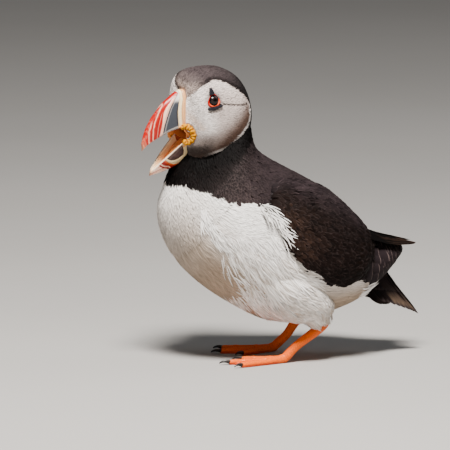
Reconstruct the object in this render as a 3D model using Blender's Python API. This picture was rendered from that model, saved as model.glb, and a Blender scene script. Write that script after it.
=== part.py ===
"""Atlantic puffin, standing with its bill open: a life-size still model.

Frame: metres, +Z up, the bird faces -Y and its left side is +X. The origin is on the floor, under
the middle of the bird's length. Tables are in millimetres, in the bird's own frame, whose origin is
the floor between its feet; an empty, the standing point, sets that frame in place.

The trunk and neck are one loft between the line of the back and the line of the breast and belly,
parted at the collar. The head, bill and eyes are built in the head's frame, whose origin is the
corner of the mouth on the midline and whose -Y runs along the cutting edge of the upper bill; an
empty turns that frame to the pose. Pieces that touch keep GAP between them.
"""

import math

import bmesh
import bpy
import numpy as np
from mathutils import Euler, Matrix, Vector
from mathutils.bvhtree import BVHTree

MM = 0.001
GAP = 0.3                      # clearance between touching pieces

# ---- driving dimensions, in millimetres and degrees -------------------------------------------
STANDING_Y = 6.65              # the feet's frame from the middle of the bird's length
GAPE_AT = (8.2, -74.4, 147.2)  # the corner of the mouth, on the head's midline
HEAD_YAW, HEAD_PITCH, HEAD_ROLL = 18.6, -22.5, 10.2

NAPE, COLLAR = (-19.0, 130.5), (-86.5, 96.0)   # y, z of the cut between neck and trunk
TRUNK_RINGS, TRUNK_SEGMENTS = 25, 24
HEAD_RINGS, HEAD_SEGMENTS = 16, 22

EYE_AT = (19.1, 15.0)          # behind the mouth's corner, above it
EYE_RADIUS = 3.7
EYE_PROUD = 1.9                # how far the ball stands out of the face
LID_INSIDE, LID_OUTSIDE = 3.0, 4.3             # the red lid's rounded triangle
LID_CORNER, LID_TURN, LID_DROP = 0.65, 76.0, (-0.35, -0.70)

FOOT_X, FOOT_Y = 23.0, -6.0    # the ball of the foot
STEP = 3.0                     # how far the left foot stands forward and the right one back
ANKLE = (22.0, 14.5, 23.0)
TOE_RADIUS = 2.1
WEB_THICK = 1.4
TOES = (                       # name, turn outwards in degrees, length, claw length
    ("inner", -27.0, 27.0, 6.5),
    ("middle", -2.0, 35.0, 7.0),
    ("outer", 21.0, 33.0, 6.0),
)

TAIL_ROOT = (53.0, 63.0)       # y, z
TAIL_TIP = (85.4, 22.3)
TAIL_ROOT_HALF, TAIL_END_HALF = 8.0, 11.5
TAIL_ROUND = 25.0              # how much shorter the outermost feathers are
TAIL_ROOF = (10.5, 13.5)       # droop of the outermost feathers at their roots and tips
TAIL_SAG = 1.6                 # how far the middle feathers sag between root and tip

# back y, z; breast and belly y, z; half width
TRUNK = np.array([
    (72.6, 64.4, 65.7, 57.9, 4.1),
    (70.7, 68.6, 59.9, 51.6, 11.1),
    (63.0, 71.1, 51.6, 43.9, 18.1),
    (52.9, 74.4, 44.0, 37.2, 24.0),
    (45.0, 80.5, 36.0, 32.8, 29.5),
    (33.5, 92.5, 24.5, 28.5, 34.0),
    (20.0, 105.5, 6.0, 23.0, 37.5),
    (6.0, 114.0, -16.5, 24.5, 39.5),
    (-8.0, 121.5, -37.0, 34.5, 40.0),
    (-18.0, 127.5, -56.0, 47.0, 39.5),
    (-23.5, 133.0, -72.0, 62.5, 36.3),
    (-25.2, 139.0, -81.5, 79.0, 30.5),
    (-25.8, 145.0, -84.5, 95.0, 23.0),
    (-27.0, 150.5, -81.5, 107.5, 16.0),
    (-30.5, 155.5, -77.5, 118.5, 12.5),
    (-36.0, 159.0, -72.5, 127.5, 11.0),
    (-43.0, 160.5, -66.5, 136.0, 9.5),
])

# the head's lines in its own frame, as forward and up: crown; throat; half width
HEAD = np.array([
    (-10.4, 23.2, 0.6, -22.0, 8.0),
    (-11.8, 26.6, -1.2, -26.4, 15.6),
    (-15.0, 29.4, -5.0, -29.4, 19.9),
    (-20.8, 29.7, -11.2, -30.8, 21.5),
    (-28.6, 27.6, -19.6, -32.8, 21.4),
    (-36.5, 24.2, -28.6, -33.4, 20.8),
    (-42.7, 20.1, -37.0, -30.0, 18.7),
    (-47.6, 13.0, -44.6, -21.0, 14.5),
    (-50.6, 3.1, -49.0, -11.0, 8.6),
])

# the upper bill: ridge forward, up; cutting edge forward, up; half width; where the horn is cut
BILL_UPPER = np.array([
    (-16.0, 19.5, -6.0, 1.6, 6.9),
    (-10.2, 22.0, -1.4, 2.3, 6.8),
    (-4.9, 22.7, 2.4, 2.6, 6.4),
    (5.1, 20.4, 9.2, 3.4, 5.7),
    (11.0, 17.6, 14.0, 3.0, 4.9),
    (16.7, 14.4, 18.4, 2.5, 4.0),
    (21.3, 10.7, 22.2, 1.6, 3.0),
    (24.9, 6.6, 25.4, 0.6, 2.1),
    (27.4, 2.6, 27.4, -0.7, 1.3),
])
BILL_TIP = (28.9, -2.3)
CERE_STATION = 1.95            # where the cere ends and the horn starts

# the lower bill: rim forward, up; keel forward, up; half width
BILL_LOWER = np.array([
    (-6.0, -5.5, -8.0, -17.0, 6.4),
    (1.2, -7.4, 0.4, -21.0, 6.2),
    (8.0, -9.8, 7.0, -22.7, 5.3),
    (13.8, -12.0, 13.0, -22.7, 4.2),
    (19.5, -14.5, 19.3, -22.0, 2.9),
    (24.8, -17.0, 24.8, -21.0, 1.7),
])
LOWER_TIP = (28.2, -20.2)

# the wing on the trunk's surface: station, angle from the back to its top and lower edges, thickness
WING = np.array([
    (8.6, 50.0, 66.0, 1.2),
    (8.1, 36.0, 72.0, 2.2),
    (7.4, 26.0, 88.0, 3.4),
    (6.5, 20.0, 99.0, 4.0),
    (5.5, 15.5, 109.5, 4.0),
    (4.7, 13.0, 106.0, 3.6),
    (4.1, 15.0, 91.0, 3.0),
    (3.72, 30.0, 62.0, 1.8),
])
# the folded flight feathers over the rump: x, y, z, half width, half thickness
PRIMARIES = np.array([
    (21.0, 34.0, 81.5, 6.5, 1.4),
    (15.5, 46.0, 77.8, 7.0, 1.5),
    (11.0, 57.0, 74.0, 6.2, 1.5),
    (8.0, 67.0, 71.9, 4.8, 1.3),
    (6.2, 75.0, 71.1, 3.2, 0.9),
])
PRIMARIES_TIP = (5.2, 80.0, 70.8)
PRIMARIES_TILT = 12.0

COLOURS = {                    # base colour, roughness
    "black_feather": ((0.022, 0.019, 0.020), 0.6),
    "grey_feather": ((0.30, 0.27, 0.26), 0.7),
    "white_feather": ((0.78, 0.75, 0.72), 0.8),
    "red_horn": ((0.80, 0.12, 0.04), 0.35),
    "pale_horn": ((0.80, 0.66, 0.42), 0.45),
    "yellow_skin": ((0.90, 0.50, 0.02), 0.5),
    "mouth_skin": ((0.55, 0.17, 0.04), 0.4),
    "eye_dark": ((0.03, 0.02, 0.02), 0.05),
    "eye_ring": ((0.75, 0.10, 0.02), 0.5),
    "eye_horn": ((0.10, 0.12, 0.15), 0.4),
    "orange_skin": ((0.85, 0.24, 0.03), 0.5),
    "claw": ((0.02, 0.018, 0.016), 0.3),
}


# ---- helpers --------------------------------------------------------------------------------
def clear_scene():
    for obj in list(bpy.data.objects):
        bpy.data.objects.remove(obj)


def smooth_row(table, at):
    """Rows of a table read at fractional places, on a Catmull-Rom curve through them."""
    table = np.asarray(table, float)
    ends = np.vstack([2 * table[0] - table[1], table, 2 * table[-1] - table[-2]])
    at = np.clip(np.asarray(at, float), 0, len(table) - 1)
    first = np.minimum(at.astype(int), len(table) - 2)
    t = (at - first)[..., None]
    a, b, c, d = (ends[first + k] for k in range(4))
    square, cube = 2 * a - 5 * b + 4 * c - d, 3 * b - a - 3 * c + d
    return 0.5 * (2 * b + (c - a) * t + square * t**2 + cube * t**3)


def material(name):
    made = bpy.data.materials.get(name)
    if made:
        return made
    colour, roughness = COLOURS[name]
    made = bpy.data.materials.new(name)
    made.use_nodes = True
    shader = made.node_tree.nodes["Principled BSDF"]
    shader.inputs["Base Color"].default_value = (*colour, 1.0)
    shader.inputs["Roughness"].default_value = roughness
    return made


def add_object(name, mesh, finish=None, parent=None):
    obj = bpy.data.objects.new(name, mesh)
    bpy.context.collection.objects.link(obj)
    if finish:
        mesh.materials.append(material(finish))
    obj.parent = parent
    return obj


def tube(name, rings, start=None, end=None):
    """A closed mesh from rings of points (rings x points x 3, in mm), ended by a point or a flat cap."""
    rings = np.asarray(rings, float)
    count, around = rings.shape[:2]
    points = list(rings.reshape(-1, 3) * MM)
    faces = []
    for i in range(count - 1):
        for j in range(around):
            k = (j + 1) % around
            faces.append((i * around + j, i * around + k, (i + 1) * around + k, (i + 1) * around + j))
    for row, pole, turn in ((0, start, -1), (count - 1, end, 1)):
        ring = [row * around + j for j in range(around)]
        if pole is None:
            faces.append(tuple(ring[::turn]))
            continue
        points.append(np.asarray(pole, float) * MM)
        for j in range(around):
            pair = (ring[j], ring[(j + 1) % around])
            faces.append((*pair[::turn], len(points) - 1))
    mesh = bpy.data.meshes.new(name)
    mesh.from_pydata([tuple(p) for p in points], [], faces)
    face_out(mesh)
    mesh.shade_smooth()
    mesh.set_sharp_from_angle(angle=math.radians(50))
    return mesh


def face_out(mesh):
    """Turns all faces outwards and cuts them to triangles, so that a cutter's facets match."""
    bm = bmesh.new()
    bm.from_mesh(mesh)
    bmesh.ops.triangulate(bm, faces=bm.faces)
    bmesh.ops.recalc_face_normals(bm, faces=bm.faces)
    bm.to_mesh(mesh)
    bm.free()


def finished_mesh(obj, name):
    """The mesh of an object as its modifiers leave it so far."""
    bpy.context.view_layer.update()
    mesh = bpy.data.meshes.new_from_object(obj.evaluated_get(bpy.context.evaluated_depsgraph_get()))
    mesh.name = name
    return mesh


def grown(obj, by=GAP):
    """A hidden copy of an object, swollen by the gap, which cuts room for it."""
    mesh = finished_mesh(obj, obj.name + "_room")
    bm = bmesh.new()
    bm.from_mesh(mesh)
    bm.normal_update()
    for vert in bm.verts:
        vert.co += vert.normal * (by * MM)
    bm.to_mesh(mesh)
    bm.free()
    return helper(obj.name + "_room", mesh, obj.parent, obj.matrix_basis)


def helper(name, mesh, parent=None, place=None):
    """A cutter: an object that is hidden and isn't part of the model."""
    cutter = add_object(name, mesh, parent=parent)
    if place is not None:
        cutter.matrix_basis = place
    cutter.hide_render = True
    cutter.display_type = "WIRE"
    return cutter


def boolean(obj, other, operation="DIFFERENCE"):
    step = obj.modifiers.new(f"{operation.lower()} {other.name}", "BOOLEAN")
    step.operation = operation
    step.object = other
    return obj


def block(name, low, high):
    """A box from its low to its high corner, in mm."""
    mesh = bpy.data.meshes.new(name)
    bm = bmesh.new()
    bmesh.ops.create_cube(bm, size=1.0)
    low, high = Vector(low) * MM, Vector(high) * MM
    for vert in bm.verts:
        vert.co = Vector([(a + b) / 2 + c * (b - a) for a, b, c in zip(low, high, vert.co)])
    bm.to_mesh(mesh)
    bm.free()
    return mesh


def ellipsoid(name, centre, radii, segments=16, rings=10):
    mesh = bpy.data.meshes.new(name)
    bm = bmesh.new()
    size = Matrix.Diagonal((*(r * MM for r in radii), 1.0))
    place = Matrix.Translation(Vector(centre) * MM) @ size
    bmesh.ops.create_uvsphere(bm, u_segments=segments, v_segments=rings, radius=1.0, matrix=place)
    bmesh.ops.triangulate(bm, faces=bm.faces)
    bm.to_mesh(mesh)
    bm.free()
    mesh.shade_smooth()
    return mesh


def add_twin(obj, name):
    """The finished shape of a left-hand piece, mirrored to the right-hand side."""
    mesh = finished_mesh(obj, name)
    mesh.transform(Matrix.Diagonal((-1.0, 1.0, 1.0, 1.0)))
    mesh.flip_normals()
    return add_object(name, mesh, parent=obj.parent)


# ---- trunk and neck -------------------------------------------------------------------------
def trunk_surface(station, angle):
    """A point of the trunk's surface: station along the body, angle from the back round by the left.

    Each section joins a point of the back to one of the belly by an oval, a little wider below."""
    row = smooth_row(TRUNK, station)
    back, belly = row[..., 0:2], row[..., 2:4]
    middle, half = (back + belly) / 2, (back - belly) / 2
    cosine, sine = np.cos(angle), np.sin(angle)
    across = row[..., 4] * sine * (1 - 0.10 * cosine)
    side = middle + half * cosine[..., None]
    return np.concatenate([across[..., None], side], axis=-1)


def trunk_rings(first, last, count):
    around = np.linspace(0, 2 * np.pi, TRUNK_SEGMENTS, endpoint=False)
    station, angle = np.meshgrid(np.linspace(first, last, count), around, indexing="ij")
    return trunk_surface(station, angle)


def build_trunk(root):
    """The body whole, then cut across at the collar into trunk and neck."""
    last = len(TRUNK) - 1
    rings = trunk_rings(0, last, TRUNK_RINGS)
    whole = tube("body_whole", rings, start=(0, 70.2, 60.9), end=(0, -56.0, 152.0))
    trunk = add_object("trunk", whole, "white_feather", root)
    room = grown(trunk)
    neck = add_object("neck", whole.copy(), "black_feather", root)
    for piece, keep in ((trunk, 1), (neck, -1)):
        boolean(piece, collar_block(root, keep))
    return trunk, neck, room


def collar_block(root, keep):
    """A block that takes away the body's front end (keep 1) or its rear end (keep -1)."""
    nape, breast = Vector((0, *NAPE)) * MM, Vector((0, *COLLAR)) * MM
    down = (breast - nape).normalized()
    ahead = Vector((0, down.z, -down.y))
    size = 200.0
    name = f"collar_block_{'trunk' if keep > 0 else 'neck'}"
    mesh = block(name, (-size, -size, -GAP / 2), (size, size, size))
    across = Vector((1, 0, 0))
    turn = Matrix((across, (ahead * keep).cross(across), ahead * keep)).transposed().to_4x4()
    return helper(mesh.name, mesh, root, Matrix.Translation((nape + breast) / 2) @ turn)


# ---- head -----------------------------------------------------------------------------------
def frames():
    """The empty that holds the whole bird, and the one that turns its head."""
    root = bpy.data.objects.new("standing_point", None)
    bpy.context.collection.objects.link(root)
    root.location = (0, STANDING_Y * MM, 0)
    head = bpy.data.objects.new("head_frame", None)
    bpy.context.collection.objects.link(head)
    head.parent = root
    yaw = Euler((0, 0, math.radians(HEAD_YAW))).to_matrix()
    pitch = Euler((math.radians(-HEAD_PITCH), 0, 0)).to_matrix()
    roll = Euler((0, math.radians(HEAD_ROLL), 0)).to_matrix()
    head.matrix_basis = Matrix.Translation(Vector(GAPE_AT) * MM) @ (yaw @ pitch @ roll).to_4x4()
    return root, head


def forward_up(values):
    """Forward and up in the head's frame, as a point on its midline."""
    return (0.0, -values[0], values[1])


def head_surface(station, angle):
    """A point of the head: ovals between the lines of the crown and throat, full at the cheeks.

    The first ovals bulge forwards at their sides, to the root of the bill."""
    row = smooth_row(HEAD, station)
    crown, throat = row[..., 0:2], row[..., 2:4]
    middle, half = (crown + throat) / 2, (crown - throat) / 2
    cosine, sine = np.cos(angle), np.sin(angle)
    fullness = np.where(cosine < 0, 0.80, 0.66)
    across = row[..., 4] * np.sign(sine) * np.abs(sine) ** fullness * (1 - 0.08 * cosine)
    side = middle + half * cosine[..., None]
    bulge = (4.3 - 1.5 * np.minimum(cosine, 0)) * sine**2 * np.exp(-2.0 * station)
    return np.stack([across, -side[..., 0] - bulge, side[..., 1]], axis=-1)


def build_head(frame):
    around = np.linspace(0, 2 * np.pi, HEAD_SEGMENTS, endpoint=False)
    station, angle = np.meshgrid(np.linspace(0, len(HEAD) - 1, HEAD_RINGS), around, indexing="ij")
    mesh = tube("head", head_surface(station, angle), end=forward_up((-51.4, -4.6)))
    return add_object("head", mesh, "grey_feather", frame)


def face_place(head_mesh, back, up, side):
    """Where a line across the head meets its side, as a matrix: Z out of the face, Y upwards."""
    faces = [face.vertices[:] for face in head_mesh.polygons]
    tree = BVHTree.FromPolygons([vert.co for vert in head_mesh.vertices], faces)
    start = Vector((100 * side, back, up)) * MM
    point, normal, _, _ = tree.ray_cast(start, Vector((-side, 0, 0)))
    across = Vector((0, 0, 1)).cross(normal).normalized()
    turn = Matrix((across, normal.cross(across), normal)).transposed().to_4x4()
    return Matrix.Translation(point) @ turn


def lid_mesh(name, side, segments=18, around=4):
    """The lid: a rounded roll between the round edge of the ball and a blunt triangle outside it."""
    turn = np.linspace(0, 2 * np.pi, segments, endpoint=False)[:, None]
    round_ = np.linspace(0, 2 * np.pi, around, endpoint=False)[None, :]
    outside = LID_OUTSIDE + LID_CORNER * np.cos(3 * (turn - math.radians(LID_TURN)))
    outside = outside + LID_DROP[0] * np.cos(turn) + LID_DROP[1] * np.sin(turn)
    middle, half = (outside + LID_INSIDE) / 2, (outside - LID_INSIDE) / 2
    reach = middle + half * np.cos(round_)
    height = np.sin(round_) + 0 * turn
    points = np.stack([side * reach * np.cos(turn), reach * np.sin(turn), height], axis=-1)
    faces = []
    for i in range(segments):
        for j in range(around):
            n, m = (i + 1) % segments, (j + 1) % around
            faces.append((i * around + j, n * around + j, n * around + m, i * around + m))
    mesh = bpy.data.meshes.new(name)
    mesh.from_pydata((points.reshape(-1, 3) * MM).tolist(), [], faces)
    face_out(mesh)
    mesh.shade_smooth()
    return mesh


EYE_PLATES = (                 # name, outline behind and above the eye's centre, how far it stands out
    ("upper", [(-1.3, 4.3), (1.9, 3.5), (1.75, 7.3), (0.9, 8.0), (0.2, 7.2)], 1.3),
    ("lower", [(-6.2, -4.6), (-2.3, -6.3), (3.7, -6.5), (3.5, -5.2), (-2.2, -4.2), (-5.3, -2.9)], 1.2),
)


def build_eye(frame, head, head_room, side):
    """The ball in its socket, the red lid round it and the two horny plates above and below."""
    tag = "left" if side > 0 else "right"
    place = face_place(head.data, EYE_AT[0], EYE_AT[1], side)
    sphere = ellipsoid(f"eye_{tag}", (0, 0, EYE_PROUD - EYE_RADIUS), (EYE_RADIUS,) * 3, 12, 8)
    ball = add_object(f"eye_{tag}", sphere, "eye_dark", frame)
    ball.matrix_basis = place
    ball_room = grown(ball)
    boolean(head, ball_room)
    lid = add_object(f"eyelid_{tag}", lid_mesh(f"eyelid_{tag}", side), "eye_ring", frame)
    lid.matrix_basis = place
    lid_room = grown(lid)
    boolean(lid, head_room)
    boolean(lid, ball_room)
    for part, outline, swell in EYE_PLATES:
        name = f"eye_plate_{part}_{tag}"
        mesh = plate_mesh(name, [(x * side, y) for x, y in outline], swell)
        plate = add_object(name, mesh, "eye_horn", frame)
        plate.matrix_basis = place
        for cutter in (head_room, lid_room, ball_room):
            boolean(plate, cutter)


def plate_mesh(name, outline, swell):
    """A flat plate with a bevelled top: the outline from under the skin to its swell, then drawn in."""
    outline = np.array(outline, float)
    middle = outline.mean(0)
    rings = []
    for height, keep in ((-3.0, 1.0), (0.35, 1.0), (swell, 0.72)):
        flat = middle + (outline - middle) * keep
        rings.append(np.column_stack([flat, np.full(len(flat), height)]))
    return tube(name, rings)


# ---- bill and mouth -------------------------------------------------------------------------
def upper_section(at, half_turns=7):
    """A section of the upper bill: an arch from one cutting edge to the other, and the palate."""
    row = smooth_row(BILL_UPPER, at)
    ridge, edge, width = row[0:2], row[2:4], row[4]
    rise = ridge - edge
    tall = np.linalg.norm(rise)
    arch = np.linspace(0, np.pi, half_turns)
    palate = np.linspace(np.pi, 0, half_turns)[1:-1]
    inner = max(width - 1.3, 0.4 * width)
    across = np.concatenate([width * np.cos(arch), inner * np.cos(palate)])
    up = np.concatenate([np.sin(arch), min(3.2, 0.35 * tall) / tall * np.sin(palate)])
    side = edge + rise * up[:, None]
    return np.column_stack([across, -side[:, 0], side[:, 1]])


def build_upper_bill(frame):
    """The horny upper bill, and the pale cere round its root."""
    last = len(BILL_UPPER) - 1
    sections = [upper_section(at) for at in np.linspace(CERE_STATION + 0.06, last, 12)]
    horn = tube("bill_upper", sections, end=forward_up(BILL_TIP))
    bill = add_object("bill_upper", horn, "red_horn", frame)
    rings = []
    for share, swell in ((0.0, 1.0), (0.45, 1.0), (0.58, 1.06), (0.85, 1.06), (1.0, 1.01)):
        ring = upper_section(share * CERE_STATION)
        middle = ring.mean(0)
        rings.append(middle + (ring - middle) * (swell, 0.5 + swell / 2, 0.5 + swell / 2))
    cere = add_object("cere", tube("cere", rings), "pale_horn", frame)
    return bill, cere


def lower_section(at, half_turns=7):
    """A section of the lower bill: a keeled trough, its outside from rim to rim and its inside back."""
    row = smooth_row(BILL_LOWER, at)
    rim, keel, width = row[0:2], row[2:4], row[4]
    drop = keel - rim
    deep = np.linalg.norm(drop)
    outside = np.linspace(0, np.pi, half_turns)
    inside = np.linspace(np.pi, 0, half_turns)[1:-1]
    inner = max(width - 1.1, 0.45 * width)
    across = np.concatenate([width * np.cos(outside), inner * np.cos(inside)])
    down = np.concatenate([np.sin(outside) ** 0.9, max(0.3, 1 - 3.4 / deep) * 0.75 * np.sin(inside)])
    side = rim + drop * down[:, None]
    return np.column_stack([across, -side[:, 0], side[:, 1]])


def build_lower_bill(frame):
    last = len(BILL_LOWER) - 1
    rings = [lower_section(at) for at in np.linspace(0, last, 12)]
    return add_object("bill_lower", tube("bill_lower", rings, end=forward_up(LOWER_TIP)), "red_horn", frame)


def build_tongue(frame):
    """A low pointed tongue that lies over the trough, clear of its floor."""
    line = [(-3.5, -9.6, 3.2, 1.5), (3.0, -11.6, 3.0, 1.4), (9.0, -13.9, 2.1, 1.1), (13.5, -15.6, 1.1, 0.7)]
    around = np.linspace(0, 2 * np.pi, 12, endpoint=False)
    rings = []
    for at in np.linspace(0, len(line) - 1, 8):
        ahead, up, half, thick = smooth_row(line, at)
        depth = np.full(len(around), -ahead)
        rings.append(np.column_stack([half * np.cos(around), depth, up + thick * np.sin(around)]))
    mesh = tube("tongue", rings, end=forward_up((15.6, -16.4)))
    return add_object("tongue", mesh, "mouth_skin", frame)


# forward, up, to the side, thickness: the roll of yellow skin round the corner of the mouth
ROSETTE = np.array([
    (1.6, 2.4, 6.9, 1.2),
    (-0.8, 2.7, 8.2, 1.7),
    (-2.7, 0.9, 9.8, 1.8),
    (-3.4, -2.0, 11.0, 1.8),
    (-3.1, -5.0, 11.0, 1.9),
    (-1.4, -7.3, 9.8, 1.9),
    (1.0, -7.8, 8.2, 1.8),
    (2.8, -6.3, 7.2, 1.2),
])


def build_rosette(frame, side, cutters):
    """The wrinkled yellow skin at the corner of the mouth: a C-shaped roll between the bills."""
    name = "rosette_left" if side > 0 else "rosette_right"
    line = ROSETTE[:, [2, 0, 1, 3]] * (side, -1, 1, 1)
    mesh = tube(name, rod_rings(line, 13, 7, level=(1.0, 0.0, 0.0)))
    rosette = add_object(name, mesh, "yellow_skin", frame)
    for cutter in cutters:
        boolean(rosette, cutter)
    return rosette


# ---- wings and tail -------------------------------------------------------------------------
def build_wing(root, trunk_room, across=8, along=14):
    """The folded wing: a lens that lies on the trunk from its bend to the tips of its inner feathers."""
    place = np.linspace(0, len(WING) - 1, along)
    row = smooth_row(WING, place)
    share = np.linspace(0, 1, across)[None, :]
    station = np.repeat(row[:, 0:1], across, axis=1)
    angle = np.radians(row[:, 1:2] * (1 - share) + row[:, 2:3] * share)
    base = trunk_surface(station, angle)
    step = 1e-3
    ahead, around = trunk_surface(station + step, angle), trunk_surface(station, angle + step)
    normal = np.cross(ahead - base, around - base)
    normal /= np.linalg.norm(normal, axis=-1, keepdims=True)
    crown = np.sin(np.pi * np.clip(share, 0.03, 0.97)) ** 0.45
    ends = np.sin(np.pi * np.clip(place / place[-1], 0.03, 0.97))[:, None] ** 0.4
    swell = 1.5 + row[:, 3:4] * crown * ends
    outer = base + normal * swell[..., None]
    inner = base - normal * 2.5
    rings = np.concatenate([outer, inner[:, ::-1]], axis=1)
    wing = add_object("wing_left", tube("wing_left", rings), "black_feather", root)
    boolean(wing, trunk_room)
    return wing


def build_primaries(root, cutters):
    """The tips of the flight feathers: a thin tapering blade that leaves the wing above the rump."""
    around = np.linspace(0, 2 * np.pi, 10, endpoint=False)
    tilt = math.radians(PRIMARIES_TILT)
    flat = np.array([math.cos(tilt), 0, -math.sin(tilt)])
    thin = np.array([math.sin(tilt), 0, math.cos(tilt)])
    rings = []
    for at in np.linspace(0, len(PRIMARIES) - 1, 9):
        x, y, z, half, thick = smooth_row(PRIMARIES, at)
        oval = half * np.cos(around)[:, None] * flat + thick * np.sin(around)[:, None] * thin
        rings.append((x, y, z) + oval)
    mesh = tube("primaries_left", rings, end=PRIMARIES_TIP)
    blade = add_object("primaries_left", mesh, "black_feather", root)
    for cutter in cutters:
        boolean(blade, cutter)
    return blade


def build_tail(root, cutters, along=8, across=9):
    """The fan of tail feathers as one thin roof-shaped plate, its end rounded."""
    start, tip = np.array([0, *TAIL_ROOT]), np.array([0, *TAIL_TIP])
    length = np.linalg.norm(tip - start)
    axis = (tip - start) / length
    over = np.array([0, -axis[2], axis[1]])
    share = np.linspace(-1, 1, across)
    rings = []
    for t in np.linspace(0, 1, along):
        half = TAIL_ROOT_HALF + (TAIL_END_HALF - TAIL_ROOT_HALF) * t**0.8
        reach = t * (length - TAIL_ROUND * np.abs(share))
        roof = TAIL_ROOF[0] * (1 - t) + TAIL_ROOF[1] * t
        sag = -roof * np.abs(share) ** 1.18 - 4 * TAIL_SAG * t * (1 - t)
        thick = 1.7 - 0.95 * t
        line = start + reach[:, None] * axis + sag[:, None] * over
        line[:, 0] = share * half
        rings.append(np.concatenate([line + over * thick, line[::-1] - over * thick]))
    tail = add_object("tail", tube("tail", rings), "black_feather", root)
    for cutter in cutters:
        boolean(tail, cutter)
    return tail


# ---- legs -----------------------------------------------------------------------------------
def rod_rings(line, count, around=12, level=(0.0, 0.0, 1.0)):
    """Rings along a smooth line of x, y, z, radius, square to it and turned to a level direction."""
    line = np.asarray(line, float)
    rows = smooth_row(line, np.linspace(0, len(line) - 1, count))
    heading = np.gradient(rows[:, :3], axis=0)
    side = np.cross(heading, level)
    side /= np.linalg.norm(side, axis=1, keepdims=True)
    upper = np.cross(side, heading)
    upper /= np.linalg.norm(upper, axis=1, keepdims=True)
    turn = np.linspace(0, 2 * np.pi, around, endpoint=False)[None, :, None]
    circle = np.cos(turn) * side[:, None] + np.sin(turn) * upper[:, None]
    return rows[:, None, :3] + rows[:, None, 3:4] * circle


def build_leg(root, trunk_room, side):
    """A leg: feathered thigh, scaly shank, webbed foot and three claws. Tables are for the left leg."""
    tag = "left" if side > 0 else "right"
    flip = np.array([side, 1.0, 1.0, 1.0])
    ball = np.array([FOOT_X, FOOT_Y - side * STEP])

    hip, knee = (21.0, -22.0, 60.0, 15.0), (22.5, -5.0, 45.0, 17.5)
    thigh_line = flip * [hip, knee, (22.5, 8.5, 34.5, 14.0), (22.0, 13.5, 26.5, 8.5)]
    thigh_mesh = tube(f"thigh_{tag}", rod_rings(thigh_line, 8, 12), end=(22.0 * side, 15.0, 21.5))
    thigh = add_object(f"thigh_{tag}", thigh_mesh, "white_feather", root)
    thigh_room = grown(thigh)
    boolean(thigh, trunk_room)

    hub_line = flip * [(*ball, 3.6, 2.6), (ball[0], ball[1] - 4, 2.4, 2.4)]
    foot = add_object(f"foot_{tag}", tube(f"foot_{tag}", rod_rings(hub_line, 3, 8)), "orange_skin", root)
    ends = []
    for name, turn, length, claw in TOES:
        heading = np.array([math.sin(math.radians(turn)), -math.cos(math.radians(turn))])
        at = [ball + heading * length * share for share in (0.0, 0.4, 0.75, 1.0)]
        sizes = ((2.6, 2.3), (1.75, TOE_RADIUS), (1.6, 1.9), (1.5, 1.6))
        toe_line = flip * [(*place, *size) for place, size in zip(at, sizes)]
        toe = helper(f"toe_{name}_{tag}", tube(f"toe_{name}_{tag}", rod_rings(toe_line, 4, 6)), root)
        boolean(foot, toe, "UNION")
        build_claw(root, f"claw_{name}_{tag}", at[3], heading, claw, flip)
        ends.append(at[3])
    boolean(foot, helper(f"web_{tag}", web_mesh(ball, ends, side), root), "UNION")
    floor = helper(f"floor_{tag}", block(f"floor_{tag}", (-100, -100, -20), (100, 100, 0)), root)
    boolean(foot, floor)

    shank_line = flip * [(*ANKLE, 3.9), (22.2, 10.0, 18.5, 3.1), (22.6, ball[1] + 7.5, 10.5, 2.7),
                         (ball[0], ball[1] + 1.0, 4.4, 2.8)]
    shank_mesh = tube(f"shank_{tag}", rod_rings(shank_line, 7, 8))
    shank = add_object(f"shank_{tag}", shank_mesh, "orange_skin", root)
    foot_room = grown(foot)
    for cutter in (thigh_room, trunk_room, foot_room):
        boolean(shank, cutter)
    return thigh


def web_mesh(ball, ends, side):
    """The web between the toes: a thin plate with its front edge drawn in between the toe tips."""
    heel = ball + (0.0, 1.0)
    inner, middle, outer = ends
    edge = [heel]
    for a, b in ((inner, middle), (middle, outer)):
        for share in np.linspace(0, 1, 7)[:-1]:
            pull = 0.16 * math.sin(math.pi * share)
            edge.append((a * (1 - share) + b * share) * (1 - pull) + heel * pull)
    edge.append(outer)
    edge = np.array(edge) * (side, 1.0)
    return tube("web", [np.column_stack([edge, np.full(len(edge), z)]) for z in (-0.6, WEB_THICK)])


def build_claw(root, name, start, heading, length, flip):
    """A short curved claw that starts clear of the toe's end and comes down to the floor."""
    rows = []
    for share in np.linspace(0, 0.85, 4):
        at = start + heading * (GAP + 0.1 + length * share)
        rows.append((*at, 1.7 + 0.9 * math.sin(2.4 * share) - 1.2 * share**2, 1.35 * (1 - 0.75 * share)))
    tip = (*(start + heading * (GAP + length)), 0.75)
    mesh = tube(name, rod_rings(flip * rows, 4, 6), end=flip[:3] * tip)
    return add_object(name, mesh, "claw", root)


# ---- the whole bird -------------------------------------------------------------------------
def main():
    clear_scene()
    root, frame = frames()
    trunk, neck, trunk_room = build_trunk(root)
    head = build_head(frame)
    head_room = grown(head)
    for side in (1, -1):
        build_eye(frame, head, head_room, side)
    mouth = ellipsoid("mouth_room", (0, 0.5, -3.0), (9.6, 7.0, 4.4), 14, 8)
    boolean(head, helper("mouth_room", mouth, frame))
    bill, cere = build_upper_bill(frame)
    lower = build_lower_bill(frame)
    tongue = build_tongue(frame)
    upper_room, cere_room, lower_room = grown(bill), grown(cere), grown(lower)
    for piece in (cere, bill, lower, tongue):
        boolean(piece, head_room)
    for piece in (tongue, neck):
        boolean(piece, lower_room)
    boolean(neck, head_room)
    for side in (1, -1):
        build_rosette(frame, side, (head_room, upper_room, cere_room, lower_room))

    wing = build_wing(root, trunk_room)
    wing_room = grown(wing)
    blade = build_primaries(root, (trunk_room, wing_room))
    add_twin(wing, "wing_right")
    add_twin(blade, "primaries_right")
    build_tail(root, (trunk_room,))
    for side in (1, -1):
        build_leg(root, trunk_room, side)


main()
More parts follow.
